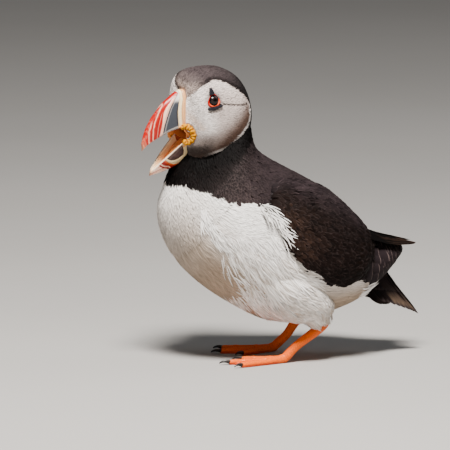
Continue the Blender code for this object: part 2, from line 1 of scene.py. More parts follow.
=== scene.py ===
"""Atlantic puffin, standing with its bill open: plumage, horn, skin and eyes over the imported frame.

Everything is worked out in millimetres in the bird's own frame (it faces -Y, its left side is +X, the
origin is the floor between its feet) and placed in metres when it becomes a mesh. The body is a set of
two-parameter surfaces. One skin is wrapped round them, and the feathers are small closed blades that
walk over them from root to tip.
"""

import math

import bpy
import numpy as np
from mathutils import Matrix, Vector
from mathutils.bvhtree import BVHTree
from mathutils.kdtree import KDTree


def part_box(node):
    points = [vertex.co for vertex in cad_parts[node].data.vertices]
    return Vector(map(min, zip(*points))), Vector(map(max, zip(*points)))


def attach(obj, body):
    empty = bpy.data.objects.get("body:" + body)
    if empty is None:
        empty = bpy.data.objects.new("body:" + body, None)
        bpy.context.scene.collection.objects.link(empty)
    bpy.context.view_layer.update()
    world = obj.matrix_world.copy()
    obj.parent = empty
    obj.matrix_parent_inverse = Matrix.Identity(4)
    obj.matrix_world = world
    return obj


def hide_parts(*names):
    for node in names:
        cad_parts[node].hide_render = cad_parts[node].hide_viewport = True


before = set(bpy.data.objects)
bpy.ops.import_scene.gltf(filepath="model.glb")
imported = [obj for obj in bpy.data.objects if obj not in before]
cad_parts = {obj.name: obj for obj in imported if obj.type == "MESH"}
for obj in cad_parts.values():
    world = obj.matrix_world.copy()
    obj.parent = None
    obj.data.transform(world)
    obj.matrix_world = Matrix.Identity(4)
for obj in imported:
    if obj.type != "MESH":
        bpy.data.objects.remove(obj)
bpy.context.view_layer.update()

MM = 0.001
NUDGE = 1e-3                                                 # of a parameter, to take slopes with
TAGS = {1: "left", -1: "right"}                              # the side by the sign of x
STANDING_Y = 6.65
GAPE_AT = np.array([8.2, -74.4, 147.2])
HEAD_YAW, HEAD_PITCH, HEAD_ROLL = 18.6, -22.5, 10.2

# back y, z; breast and belly y, z; half width
TRUNK = np.array([
    (72.6, 64.4, 65.7, 57.9, 4.1), (70.7, 68.6, 59.9, 51.6, 11.1), (63, 71.1, 51.6, 43.9, 18.1),
    (52.9, 74.4, 44, 37.2, 24), (45, 80.5, 36, 32.8, 29.5), (33.5, 92.5, 24.5, 28.5, 34),
    (20, 105.5, 6, 23, 37.5), (6, 114, -16.5, 24.5, 39.5), (-8, 121.5, -37, 34.5, 40),
    (-18, 127.5, -56, 47, 39.5), (-23.5, 133, -72, 62.5, 36.3), (-25.2, 139, -81.5, 79, 30.5),
    (-25.8, 145, -84.5, 95, 23), (-27, 150.5, -81.5, 107.5, 16),
    (-30.5, 155.5, -77.5, 118.5, 12.5), (-36, 159, -72.5, 127.5, 11),
    (-43, 160.5, -66.5, 136, 9.5),
])
RUMP_POLE, NECK_POLE = (0, 70.2, 60.9), (0, -56, 152)

# in the head's frame, as forward and up: crown; throat; half width
HEAD = np.array([
    (-10.4, 23.2, 0.6, -22, 8), (-11.8, 26.6, -1.2, -26.4, 15.6), (-15, 29.4, -5, -29.4, 19.9),
    (-20.8, 29.7, -11.2, -30.8, 21.5), (-28.6, 27.6, -19.6, -32.8, 21.4), (-36.5, 24.2, -28.6, -33.4, 20.8),
    (-42.7, 20.1, -37, -30, 18.7), (-47.6, 13, -44.6, -21, 14.5), (-50.6, 3.1, -49, -11, 8.6),
])
HEAD_POLE = (-51.4, -4.6)

# ridge forward, up; cutting edge forward, up; half width
BILL_UPPER = np.array([
    (-16, 19.5, -6, 1.6, 6.9), (-10.2, 22, -1.4, 2.3, 6.8), (-4.9, 22.7, 2.4, 2.6, 6.4),
    (5.1, 20.4, 9.2, 3.4, 5.7), (11, 17.6, 14, 3, 4.9), (16.7, 14.4, 18.4, 2.5, 4),
    (21.3, 10.7, 22.2, 1.6, 3), (24.9, 6.6, 25.4, 0.6, 2.1), (27.4, 2.6, 27.4, -0.7, 1.3),
])
BILL_TIP = (28.9, -2.3)
CERE_STATION = 1.95

# rim forward, up; keel forward, up; half width
BILL_LOWER = np.array([
    (-6, -5.5, -8, -17, 6.4), (1.2, -7.4, 0.4, -21, 6.2), (8, -9.8, 7, -22.7, 5.3),
    (13.8, -12, 13, -22.7, 4.2), (19.5, -14.5, 19.3, -22, 2.9), (24.8, -17, 24.8, -21, 1.7),
])
LOWER_TIP = (28.2, -20.2)

# station on the trunk, angle from the back to the upper and lower edges, thickness
WING = np.array([
    (8.6, 50, 66, 1.2), (8.1, 36, 72, 2.2), (7.4, 26, 88, 3.4), (6.5, 20, 99, 4),
    (5.5, 15.5, 109.5, 4), (4.7, 13, 106, 3.6), (4.1, 15, 91, 3), (3.72, 30, 62, 1.8),
])
# x, y, z, half width, half thickness
PRIMARIES = np.array([
    (21, 34, 81.5, 6.5, 1.4), (15.5, 46, 77.8, 7, 1.5), (11, 57, 74, 6.2, 1.5),
    (8, 67, 71.9, 4.8, 1.3), (6.2, 75, 71.1, 3.2, 0.9), (5.2, 80, 70.8, 1.4, 0.4),
])
PRIMARIES_TILT = math.radians(12)
TAIL_ROOT, TAIL_TIP = np.array([0, 53, 63]), np.array([0, 85.4, 22.3])
TAIL_LENGTH = np.linalg.norm(TAIL_TIP - TAIL_ROOT)
TAIL_AXIS = (TAIL_TIP - TAIL_ROOT) / TAIL_LENGTH
TAIL_OVER = np.array([0, -TAIL_AXIS[2], TAIL_AXIS[1]])
TAIL_ROOT_HALF, TAIL_END_HALF, TAIL_ROUND, TAIL_ROOF, TAIL_SAG = 8, 11.5, 25, (10.5, 13.5), 1.6

THIGH = ((21, -22, 60, 15), (22.5, -5, 45, 17.5), (22.5, 8.5, 34.5, 14), (22, 13.5, 26.5, 8.5))
THIGH_POLE, THIGH_CENTRE = (22, 15, 21.5), np.array([22, -3, 45])
ANKLE = (22, 14.5, 23)
FOOT_X, FOOT_Y, STEP = 23, -6, 3                       # the left foot stands a step in front
TOES = (("inner", -27, 27, 6.5), ("middle", -2, 35, 7), ("outer", 21, 33, 6))

EYE_RADIUS, EYE_PROUD = 3.7, 1.9
LID_INSIDE, LID_OUTSIDE, LID_CORNER, LID_TURN, LID_DROP = 3.3, 4.15, 0.55, 76, (-0.2, -0.35)
EYE_PLATES = (
    ("upper", ((-1.3, 4.3), (1.9, 3.5), (1.75, 7.3), (0.9, 8), (0.2, 7.2)), 1.3),
    ("lower", ((-5.9, -4), (-2.3, -5.6), (3.7, -5.9), (3.5, -4.6), (-2.2, -3.6), (-5.1, -2.4)), 1.2),
)
# forward, up, to the side, thickness
ROSETTE = np.array([
    (1.6, 2.4, 6.9, 1.2), (-0.8, 2.7, 8.2, 1.7), (-2.7, 0.9, 9.8, 1.8), (-3.4, -2, 11, 1.8),
    (-3.1, -5, 11, 1.9), (-1.4, -7.3, 9.8, 1.9), (1, -7.8, 8.2, 1.8), (2.8, -6.3, 7.2, 1.2),
])
MOUTH_AT, MOUTH_RADII = np.array([0, 0.5, -3]), np.array([9.6, 7, 4.4])   # in the head's own axes

DEPTH = {"trunk": 1.5, "head": 0.8, "thigh": 1.5}            # how deep the skin lies under the coat
RELIEF = 0.45                                                # how far a blade's shading turns to its edges


def linear(red, green, blue):
    """A colour given in display steps of 0 to 255, as the linear light that shaders take."""
    share = np.array([red, green, blue]) / 255
    return np.where(share < 0.04045, share / 12.92, ((share + 0.055) / 1.055) ** 2.4)


BLACK_COLLAR = linear(15, 11, 11)
BLACK_WING = linear(11, 5, 3)
BLACK_MANTLE = linear(36, 29, 31)
BROWN_WORN = linear(46, 32, 25)
CROWN = linear(64, 55, 56)
CROWN_EDGE = linear(20, 12, 12)
FOREHEAD = linear(192, 174, 166)
CHEEK = linear(242, 234, 230)
CHEEK_LOW = linear(92, 70, 60)
CHEEK_SMUDGE = linear(24, 15, 12)
LORES = linear(226, 190, 164)
WHITE = linear(250, 247, 244)
# painted shade: the white plumage as it looks in shade
WHITE_PAINTED_SHADE = linear(172, 151, 131)
PALE_FRINGE = linear(68, 58, 57)
TAIL_BROWN = linear(104, 86, 70)
RUMP_FRINGE = linear(112, 97, 94)

RED_HORN = linear(160, 3, 0)
CORAL_HORN = linear(190, 16, 4)
PALE_HORN = linear(248, 196, 170)
CREAM_HORN = linear(238, 208, 158)
TAN_HORN = linear(222, 164, 112)
SLATE_HORN = linear(58, 62, 70)
SLATE_DARK = linear(34, 30, 40)
SLATE_PALE = linear(222, 212, 206)
SLATE_BROWN = linear(62, 44, 42)
DARK_RED_HORN = linear(140, 8, 1)
MOUTH_ORANGE = linear(255, 172, 92)
# painted shade: the mouth's skin brown towards the back of the mouth and near black in the throat
MOUTH_BROWN_IN_SHADE = linear(150, 60, 26)
MOUTH_DEPTH_SHADE = linear(18, 5, 3)
YELLOW_SKIN = linear(205, 140, 0)
# partly painted shade in the rosette's folds
ORANGE_FOLD_SHADE = linear(120, 24, 0)
LID_RED = linear(180, 16, 0)
EYE_SLATE = linear(30, 29, 36)
IRIS = linear(30, 20, 20)
FOOT_ORANGE = linear(248, 104, 12)
WEB_ORANGE = linear(232, 80, 14)


# ---- curves and surfaces ----------------------------------------------------------------------
def smooth_row(table, at):
    """Rows of a table at fractional places: a Catmull-Rom curve through them, straight beyond its ends."""
    table = np.asarray(table, float)
    ends = np.vstack([2 * table[0] - table[1], table, 2 * table[-1] - table[-2]])
    at = np.asarray(at, float)
    inside = np.clip(at, 0, len(table) - 1)
    first = np.minimum(inside.astype(int), len(table) - 2)
    t = (inside - first)[..., None]
    a, b, c, d = (ends[first + k] for k in range(4))
    square, cube = 2 * a - 5 * b + 4 * c - d, 3 * b - a - 3 * c + d
    row = 0.5 * (2 * b + (c - a) * t + square * t**2 + cube * t**3)
    over = (at - inside)[..., None]
    return row + over * np.where(over < 0, table[1] - table[0], table[-1] - table[-2])


def ring(count):
    """Angles evenly round a circle."""
    return np.linspace(0, 2 * np.pi, count, endpoint=False)


def crossed(first, second):
    """Every pairing of two rows of values, as two tables."""
    return np.meshgrid(first, second, indexing="ij")


def unit(vectors, least=0):
    """Vectors brought to a length of 1."""
    return vectors / (np.linalg.norm(vectors, axis=-1, keepdims=True) + least)


def turned(axis, degrees):
    """The matrix of a turn about one axis, 0 to 2."""
    matrix = np.eye(3)
    a, b = (axis + 1) % 3, (axis + 2) % 3
    cosine, sine = math.cos(math.radians(degrees)), math.sin(math.radians(degrees))
    matrix[a, a], matrix[a, b], matrix[b, a], matrix[b, b] = cosine, -sine, sine, cosine
    return matrix


def oval(row, cosine):
    """A row's upper and lower points, followed from one to the other by the cosine of an angle."""
    top, bottom = row[..., 0:2], row[..., 2:4]
    return (top + bottom) / 2 + (top - bottom) / 2 * cosine[..., None]


def in_head(across, side):
    """Points in the head's frame from their places across and their places forward and up."""
    return np.stack([across, -side[..., 0], side[..., 1]], axis=-1)


# columns are the head's left, rear and up in the bird's frame: yaw, then pitch, then roll
HEAD_TURN = turned(2, HEAD_YAW) @ turned(0, -HEAD_PITCH) @ turned(1, HEAD_ROLL)


def from_head(points):
    """Places in the bird's frame from left, rear and up in the head's frame."""
    return np.asarray(points, float) @ HEAD_TURN.T + GAPE_AT


def to_head(points):
    """Left, rear and up in the head's frame."""
    return (np.asarray(points, float) - GAPE_AT) @ HEAD_TURN


def trunk_surface(station, angle):
    """An oval between the lines of back and belly, a little wider below; the angle starts at the back."""
    row, cosine = smooth_row(TRUNK, station), np.cos(angle)
    across = row[..., 4] * np.sin(angle) * (1 - 0.1 * cosine)
    return np.concatenate([across[..., None], oval(row, cosine)], axis=-1)


def head_surface(station, angle):
    """Full ovals between the lines of crown and throat, the first ones bulging to the bill's root."""
    row, cosine, sine = smooth_row(HEAD, station), np.cos(angle), np.sin(angle)
    fullness = np.where(cosine < 0, 0.8, 0.66)
    across = row[..., 4] * np.sign(sine) * np.abs(sine) ** fullness * (1 - 0.08 * cosine)
    bulge = (4.3 - 1.5 * np.minimum(cosine, 0)) * sine**2 * np.exp(-2 * np.maximum(station, 0))
    side = oval(row, cosine)
    side[..., 0] += bulge
    return from_head(in_head(across, side))


def wing_surface(place, share, side=1, swell_by=1):
    """The folded wing: the trunk's surface between two edge angles, swollen outwards as a lens."""
    row = smooth_row(WING, place)
    angle = np.radians(row[..., 1] * (1 - share) + row[..., 2] * share)
    base = trunk_surface(row[..., 0], angle)
    ahead = trunk_surface(row[..., 0] + NUDGE, angle) - base
    around = trunk_surface(row[..., 0], angle + NUDGE) - base
    crown = np.sin(np.pi * np.clip(share, 0.03, 0.97)) ** 0.45
    ends = np.sin(np.pi * np.clip(place / (len(WING) - 1), 0.03, 0.97)) ** 0.4
    swell = (1.5 + row[..., 3] * crown * ends) * swell_by
    return (base + unit(np.cross(ahead, around)) * swell[..., None]) * (side, 1, 1)


def rod_surface(line, place, angle, level=(0, 0, 1)):
    """A round rod along a smooth line of x, y, z, radius, its angle counted from a level direction."""
    row = smooth_row(line, place)
    heading = smooth_row(line, place + NUDGE)[..., :3] - smooth_row(line, place - NUDGE)[..., :3]
    side = unit(np.cross(heading, level))
    upper = unit(np.cross(side, heading))
    circle = np.cos(angle)[..., None] * side + np.sin(angle)[..., None] * upper
    return row[..., :3] + row[..., 3:4] * circle


def tail_surface(reach, share):
    """The tail's fan: a roof that widens to the rear, its outer feathers shorter and drooping."""
    out = np.abs(share)
    half = TAIL_ROOT_HALF + (TAIL_END_HALF - TAIL_ROOT_HALF) * reach
    along = reach * (TAIL_LENGTH - TAIL_ROUND * out)
    droop = (TAIL_ROOF[0] + (TAIL_ROOF[1] - TAIL_ROOF[0]) * reach) * out**1.18
    droop = droop + 4 * TAIL_SAG * reach * (1 - reach)
    point = TAIL_ROOT + along[..., None] * TAIL_AXIS - droop[..., None] * TAIL_OVER
    point[..., 0] = share * half
    return point


def blade_surface(place, across, side=1):
    """The plane of the folded flight feathers over the rump, from edge to edge."""
    row = smooth_row(PRIMARIES, place)
    flat = np.array([math.cos(PRIMARIES_TILT), 0, -math.sin(PRIMARIES_TILT)])
    return (row[..., :3] + (row[..., 3] * across)[..., None] * flat) * (side, 1, 1)


def normals(surface, a, b, centre=None):
    """The surface's unit normals, turned away from the centre where one is given."""
    ahead = surface(a + NUDGE, b) - surface(a - NUDGE, b)
    around = surface(a, b + NUDGE) - surface(a, b - NUDGE)
    normal = unit(np.cross(ahead, around), 1e-12)
    if centre is not None:
        normal = normal * np.sign(np.einsum("...i,...i", normal, surface(a, b) - centre).mean())
    return normal


# ---- meshes -----------------------------------------------------------------------------------
def new_mesh(name, points, faces, uv=None, paint=None, uv_name="UVMap", facing=None):
    """A mesh from points in mm and face arrays; each point may have a colour, UV place and normal."""
    mesh = bpy.data.meshes.new(name)
    loops = np.concatenate([np.asarray(f).ravel() for f in faces])
    sizes = np.concatenate([np.full(len(f), np.shape(f)[1]) for f in faces])
    mesh.vertices.add(len(points))
    put_points(mesh, points)
    mesh.loops.add(len(loops))
    mesh.loops.foreach_set("vertex_index", loops)
    mesh.polygons.add(len(sizes))
    mesh.polygons.foreach_set("loop_start", np.concatenate([[0], np.cumsum(sizes)[:-1]]))
    mesh.update(calc_edges=True)
    mesh.validate()
    if uv is not None:
        layer = mesh.uv_layers.new(name=uv_name)
        layer.data.foreach_set("uv", np.asarray(uv, float)[loops].ravel())
    if paint is not None:
        put_paint(mesh, paint)
    mesh.shade_smooth()
    if facing is not None:
        mesh.normals_split_custom_set_from_vertices(facing)
    return mesh


def put_points(mesh, points):
    """Sets a mesh's points from places in mm in the bird's own frame."""
    mesh.vertices.foreach_set("co", ((np.asarray(points, float) + (0, STANDING_Y, 0)) * MM).ravel())


def put_paint(mesh, paint):
    """Stores one colour for each point, for the materials to read."""
    layer = mesh.attributes.new("paint", "FLOAT_COLOR", "POINT")
    layer.data.foreach_set("color", np.column_stack([paint, np.ones(len(paint))]).astype(float).ravel())


def tube_faces(count, around):
    """Quads that join rings of points into a tube."""
    i, j = crossed(np.arange(count - 1) * around, np.arange(around))
    k = (j + 1) % around
    return np.stack([i + j, i + k, i + around + k, i + around + j], -1).reshape(-1, 4)


def fan(first, around, pole):
    """Triangles from a ring of points, counted from its first one, to a pole."""
    j = np.arange(around)
    return np.stack([first + j, first + (j + 1) % around, np.full(around, pole)], -1)


def swept_volume(points, quads, origin):
    """A number whose sign tells whether quads face outwards."""
    corner = points[quads] - origin
    return np.einsum("ij,ij", corner[:, 0], np.cross(corner[:, 1], corner[:, 2]))


def closed_tube(rings, start=None, end=None):
    """Points and faces of rings closed by a pole at each end, its faces turned outwards."""
    rings = np.asarray(rings, float)
    count, around = rings.shape[:2]
    start = rings[0].mean(0) if start is None else np.asarray(start, float)
    end = rings[-1].mean(0) if end is None else np.asarray(end, float)
    points = np.concatenate([rings.reshape(-1, 3), [start, end]])
    size = count * around
    fans = [fan(0, around, size)[:, [1, 0, 2]], fan(size - around, around, size + 1)]
    faces = [tube_faces(count, around), np.concatenate(fans)]
    if swept_volume(points, faces[0], end) < 0:
        faces = [f[:, ::-1] for f in faces]
    return points, faces


def rod_tube(line, places, around, **ends):
    """A closed rod along a line of x, y, z, radius."""
    return closed_tube(rod_surface(line, *crossed(places, ring(around))), **ends)


def stacked(outline, steps):
    """Rings of one flat outline at several heights, each drawn in to a share of its size."""
    middle = outline.mean(0)
    return np.array([np.column_stack([middle + (outline - middle) * keep, np.full(len(outline), height)])
                     for height, keep in steps])


def linked(name, data):
    """An object in the scene."""
    obj = bpy.data.objects.new(name, data)
    bpy.context.collection.objects.link(obj)
    return obj


def joined(shapes):
    """Several (points, faces) pairs as one, without welding them."""
    points, quads, triangles, offset = [], [], [], 0
    for shape_points, (quad, triangle) in shapes:
        points.append(shape_points)
        quads.append(quad + offset)
        triangles.append(triangle + offset)
        offset += len(shape_points)
    return np.concatenate(points), [np.concatenate(quads), np.concatenate(triangles)]


def add_piece(name, mesh, finish, slot, replaced=()):
    """An object that rides on the bird, stands for the named solids and wears a finish."""
    obj = linked(name, mesh)
    mesh.materials.clear()
    mesh.materials.append(finish)
    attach(obj, "root")
    if replaced:
        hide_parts(*replaced)


def tube_piece(name, rings, colour, poles, finish, slot, replaced=(), **ends):
    """A closed tube as a piece, painted on its rings and at its two poles."""
    points, faces = closed_tube(rings, **ends)
    paint = np.concatenate([np.reshape(colour, (-1, 3)), poles])
    add_piece(name, new_mesh(name, points, faces, paint=paint), finish, slot, replaced)


def layered(colour, *layers):
    """A colour with others laid over it in turn, each a colour and its share."""
    for paint, share in layers:
        colour = mixed(colour, paint, share)
    return colour


def spot(*shares, power=2):
    """A soft spot or line: 1 where every share is 0."""
    return np.exp(-sum(share**power for share in shares))


def mesh_points(mesh):
    """A mesh's points as places in mm in the bird's own frame."""
    co = np.empty(len(mesh.vertices) * 3)
    mesh.vertices.foreach_get("co", co)
    return co.reshape(-1, 3) / MM - (0, STANDING_Y, 0)


def wrapped(name, points, faces, voxel, smooth_steps):
    """The outside of overlapping closed shapes as one even, smoothed mesh."""
    rough = linked(name + "_rough", new_mesh(name + "_rough", points, faces))
    remesh = rough.modifiers.new("wrap", "REMESH")
    remesh.mode = "VOXEL"
    remesh.voxel_size = voxel * MM
    smooth = rough.modifiers.new("smooth", "SMOOTH")
    smooth.factor = 0.5
    smooth.iterations = smooth_steps
    bpy.context.view_layer.update()
    mesh = bpy.data.meshes.new_from_object(rough.evaluated_get(bpy.context.evaluated_depsgraph_get()))
    mesh.name = name
    bpy.data.objects.remove(rough)
    return mesh


def mixed(first, second, share):
    """Colours blended by a share of 0 to 1 for each point."""
    share = np.clip(np.asarray(share, float), 0, 1)[..., None]
    return first * (1 - share) + second * share


def bump_step(value, low, high):
    """A smooth step from 0 at low to 1 at high."""
    t = np.clip((value - low) / (high - low), 0, 1)
    return t * t * (3 - 2 * t)


def ripple(points, scale, seed=0):
    """A cheap, smooth pseudo-noise of about -1 to 1: a sum of sines in several directions."""
    rng = np.random.default_rng(1000 + seed)
    total = 0
    for _ in range(7):
        wave = rng.normal(size=3)
        wave *= rng.uniform(0.6, 1.7) * 2 * np.pi / scale / np.linalg.norm(wave)
        total = total + np.sin(points @ wave + rng.uniform(0, 2 * np.pi))
    return total / 3.2


# ---- finishes ---------------------------------------------------------------------------------
class Number:
    """A shader socket; arithmetic on it adds Math nodes."""

    def __init__(self, finish, socket):
        self.finish, self.socket = finish, socket

    def math(self, operation, other):
        return self.finish.node("ShaderNodeMath", {0: self, 1: other}, operation=operation)

    def __add__(self, other):
        return self.math("ADD", other)

    def __sub__(self, other):
        return self.math("SUBTRACT", other)

    def __mul__(self, other):
        return self.math("MULTIPLY", other)

    __radd__, __rmul__ = __add__, __mul__


class Finish:
    """A material with a Principled shader and short ways to add nodes to it."""

    def __init__(self, name, **constants):
        self.material = bpy.data.materials.new(name)
        self.material.use_nodes = True
        self.tree = self.material.node_tree
        self.put(**constants)

    def put(self, **inputs):
        """Sets or joins the shader's own sockets, and gives the material."""
        for name, value in inputs.items():
            self.feed(self.tree.nodes["Principled BSDF"].inputs[name.replace("_", " ")], value)
        return self.material

    def feed(self, socket, value):
        if isinstance(value, Number):
            self.tree.links.new(value.socket, socket)
        else:
            socket.default_value = value

    def node(self, kind, inputs=None, output=0, **settings):
        made = self.tree.nodes.new(kind)
        for key, value in settings.items():
            setattr(made, key, value)
        for key, value in (inputs or {}).items():
            self.feed(made.inputs[key], value)
        return Number(self, made.outputs[output])

    def place(self):
        return self.node("ShaderNodeTexCoord", output="Object")

    def noise(self, scale, detail, stretch=None):
        vector = self.place()
        if stretch:
            vector = self.node("ShaderNodeVectorMath", {0: vector, 1: stretch}, operation="MULTIPLY")
        inputs = {"Vector": vector, "Scale": scale, "Detail": detail, "Roughness": 0.55}
        return self.node("ShaderNodeTexNoise", inputs)

    def paint(self):
        return self.node("ShaderNodeAttribute", attribute_name="paint")

    def blend(self, first, second, share, kind="MIX"):
        inputs = {0: share, 6: first, 7: second}
        return self.node("ShaderNodeMix", inputs, 2, data_type="RGBA", blend_type=kind)

    def shade(self, colour, value):
        """A colour made darker or lighter by a number round 1."""
        grey = self.node("ShaderNodeCombineColor", {0: value, 1: value, 2: value})
        return self.blend(colour, grey, 1, "MULTIPLY")

    def bump(self, height, strength, distance):
        return self.node("ShaderNodeBump", {"Height": height, "Strength": strength, "Distance": distance})


def plumage_finish(name, roughness, streak, depth, sheen):
    """Soft feathering: the painted colour with fine mottling, and barbs as a fine grain."""
    finish = Finish(name, Specular_IOR_Level=sheen)
    mottle, grain = finish.noise(260, 4), finish.noise(2200, 2)
    value = 1 - streak * 0.5 + mottle * streak * 0.6 + grain * streak * 0.4
    return finish.put(
        Base_Color=finish.shade(finish.paint(), value), Roughness=roughness + (mottle - 0.5) * 0.2,
        Normal=finish.bump(grain, depth, 0.0003))


def horn_finish(name, roughness, coat):
    """Satin horn: the painted colour, faint growth lines and scratches, a thin gloss over it."""
    finish = Finish(name, Coat_Weight=coat, Coat_Roughness=0.3, Specular_IOR_Level=0.2)
    cloud, grain = finish.noise(180, 4), finish.noise(900, 3, stretch=(1, 1, 0.25))
    return finish.put(
        Base_Color=finish.shade(finish.paint(), 0.86 + cloud * 0.18 + grain * 0.1),
        Roughness=roughness + (grain - 0.5) * 0.25,
        Normal=finish.bump(grain * 0.6 + cloud * 0.4, 0.25, 0.0004))


def skin_finish(name, roughness, scale, depth, wet=0, cells=True):
    """Bare skin: the painted colour, small raised scales with darker joints between them."""
    finish = Finish(name, Coat_Weight=wet, Coat_Roughness=0.2, Specular_IOR_Level=0.08)
    cloud = finish.noise(220, 4)
    if cells:
        inputs = {"Vector": finish.place(), "Scale": scale}
        joint = finish.node("ShaderNodeTexVoronoi", inputs, feature="DISTANCE_TO_EDGE")
        edge = finish.node("ShaderNodeMapRange", {0: joint, 1: 0, 2: 0.16}, interpolation_type="SMOOTHSTEP")
    else:
        edge = finish.noise(scale, 4)
    return finish.put(
        Base_Color=finish.shade(finish.paint(), 0.7 + edge * 0.22 + cloud * 0.2),
        Roughness=roughness + (cloud - 0.5) * 0.2,
        Normal=finish.bump(edge + cloud * 0.3, depth, 0.0004))


def eye_finish():
    """A wet ball: the painted iris under a clear gloss."""
    finish = Finish("wet_eye", Specular_IOR_Level=0.2, Coat_Weight=0.08, Coat_Roughness=0.12)
    fibres = finish.noise(1400, 3)
    return finish.put(Base_Color=finish.shade(finish.paint(), 0.75 + fibres * 0.5),
                      Roughness=0.14 + fibres * 0.08)


def floor_finish():
    """Pale matt floor, faintly clouded."""
    finish = Finish("pale_floor", Specular_IOR_Level=0.2)
    cloud = finish.noise(3, 3)
    colour = finish.blend((0.38, 0.37, 0.355, 1), (0.42, 0.41, 0.4, 1), cloud)
    return finish.put(Base_Color=colour, Roughness=0.75 + (cloud - 0.5) * 0.1)


DARK_PLUMAGE = plumage_finish("dark_plumage", 0.6, 0.5, 0.35, 0.05)
PALE_PLUMAGE = plumage_finish("pale_plumage", 0.75, 0.1, 0.15, 0.2)
HEAD_PLUMAGE = plumage_finish("face_plumage", 0.75, 0.2, 0.2, 0.15)
HORN = horn_finish("bill_horn", 0.34, 0.25)
EYE_HORN = horn_finish("eye_plate_horn", 0.42, 0.1)
CLAW_HORN = horn_finish("claw_horn", 0.26, 0.4)
BARE_SKIN = skin_finish("leg_skin", 0.42, 900, 0.5, 0.15)
FOLDED_SKIN = skin_finish("gape_skin", 0.5, 1500, 0.35, 0.04, cells=False)
MOUTH_SKIN = skin_finish("mouth_skin", 0.3, 1300, 0.3, 0.5, cells=False)
WET_EYE = eye_finish()


# ---- markings ---------------------------------------------------------------------------------
# where black above meets white below: station along the trunk, angle from the back in degrees
WHITE_EDGE = np.array([
    (0, 150), (1.2, 140), (2.3, 134), (2.7, 118), (3.1, 113), (3.7, 106), (4.2, 103), (4.7, 106),
    (5.2, 110), (5.6, 109.5), (6, 105), (6.5, 100), (6.9, 96), (7.35, 90), (7.5, 82),
    (7.75, 74), (8.1, 68), (8.45, 64), (8.83, 67), (9.6, 76), (10.55, 88), (11.55, 104),
    (12.4, 124), (12.75, 134), (13.1, 155), (13.4, 181),
])


def white_side(station, angle):
    """How many degrees a place on the trunk lies below the edge of the white."""
    degrees = 180 - np.abs(180 - np.degrees(np.abs(angle)))
    return degrees - np.interp(station, WHITE_EDGE[:, 0], WHITE_EDGE[:, 1])


# the pale cheek's outline: forward, up, to the side
CHEEK_LINE = np.array([
    (-8.1, 18.8, 5.8), (-9.7, 20.5, 8.6), (-11.2, 22.1, 11.2), (-14.9, 24.2, 13.2), (-18.9, 25, 13.3),
    (-24.6, 24.7, 12.6), (-27.4, 23.5, 12.8), (-30, 22.1, 13.3), (-34, 18.2, 14.7), (-37.9, 12.9, 16),
    (-40, 9.7, 16.3), (-42.4, 6.2, 16), (-44, 2.3, 15.8), (-45.4, -1.5, 15.1), (-44.7, -4.5, 15.7),
    (-43.3, -9.2, 16.4), (-40.1, -13, 17.7), (-34.5, -15, 19.6), (-29.7, -16.9, 20), (-23.1, -19.3, 19.4),
    (-17, -19.5, 19), (-11.2, -18.4, 18.6), (-6.3, -18.5, 16.7), (-2.8, -19.3, 13), (-0.3, -18.8, 8.3),
    (1, -17.6, 6.2), (6, -10, 5), (6, 0, 5), (0, 12, 4), (-5, 17, 4.4),
])
CREASE = np.array([(-24.6, 9.9), (-30, 6.7), (-35.9, 3.4), (-42.2, 0.1)])
EYE_AT_HEAD = (-19.1, 15)


def outline_depth(flat, loop):
    """How far inside a closed outline each flat point lies, negative outside it."""
    gap, inside = np.full(flat.shape[:-1], 99), np.zeros(flat.shape[:-1], bool)
    for low, high in zip(loop, np.roll(loop, -1, axis=0)):
        edge = high - low
        along = np.clip(((flat - low) @ edge) / (edge @ edge), 0, 1)
        gap = np.minimum(gap, np.linalg.norm(flat - low - along[..., None] * edge, axis=-1))
        crossing = (low[1] > flat[..., 1]) != (high[1] > flat[..., 1])
        inside ^= crossing & (flat[..., 0] < low[0] + (flat[..., 1] - low[1]) * edge[0] / (edge[1] or 1e-9))
    return np.where(inside, gap, -gap)


def face_map(forward, up, side):
    """The side of the head laid flat round the ear, in mm: straight out from there in every direction."""
    side = side - 2.2 * bump_step(forward, -26, -13) * bump_step(up, 8, 18)
    ray = unit(np.stack([np.abs(side), forward + 20, up], -1))
    reach = 22 * np.sqrt(2 * np.maximum(1 - ray[..., 0], 0))
    turn = np.arctan2(ray[..., 2], ray[..., 1])
    return np.stack([reach * np.cos(turn), reach * np.sin(turn)], -1)


def crease_distance(forward, up):
    """Distance from the groove that runs back from the eye, endless beyond its two ends."""
    line = np.interp(forward, CREASE[::-1, 0], CREASE[::-1, 1])
    gone = np.maximum(CREASE[-1, 0] - forward, 0) + np.maximum(forward - CREASE[0, 0], 0)
    return np.hypot(up - line, gone)


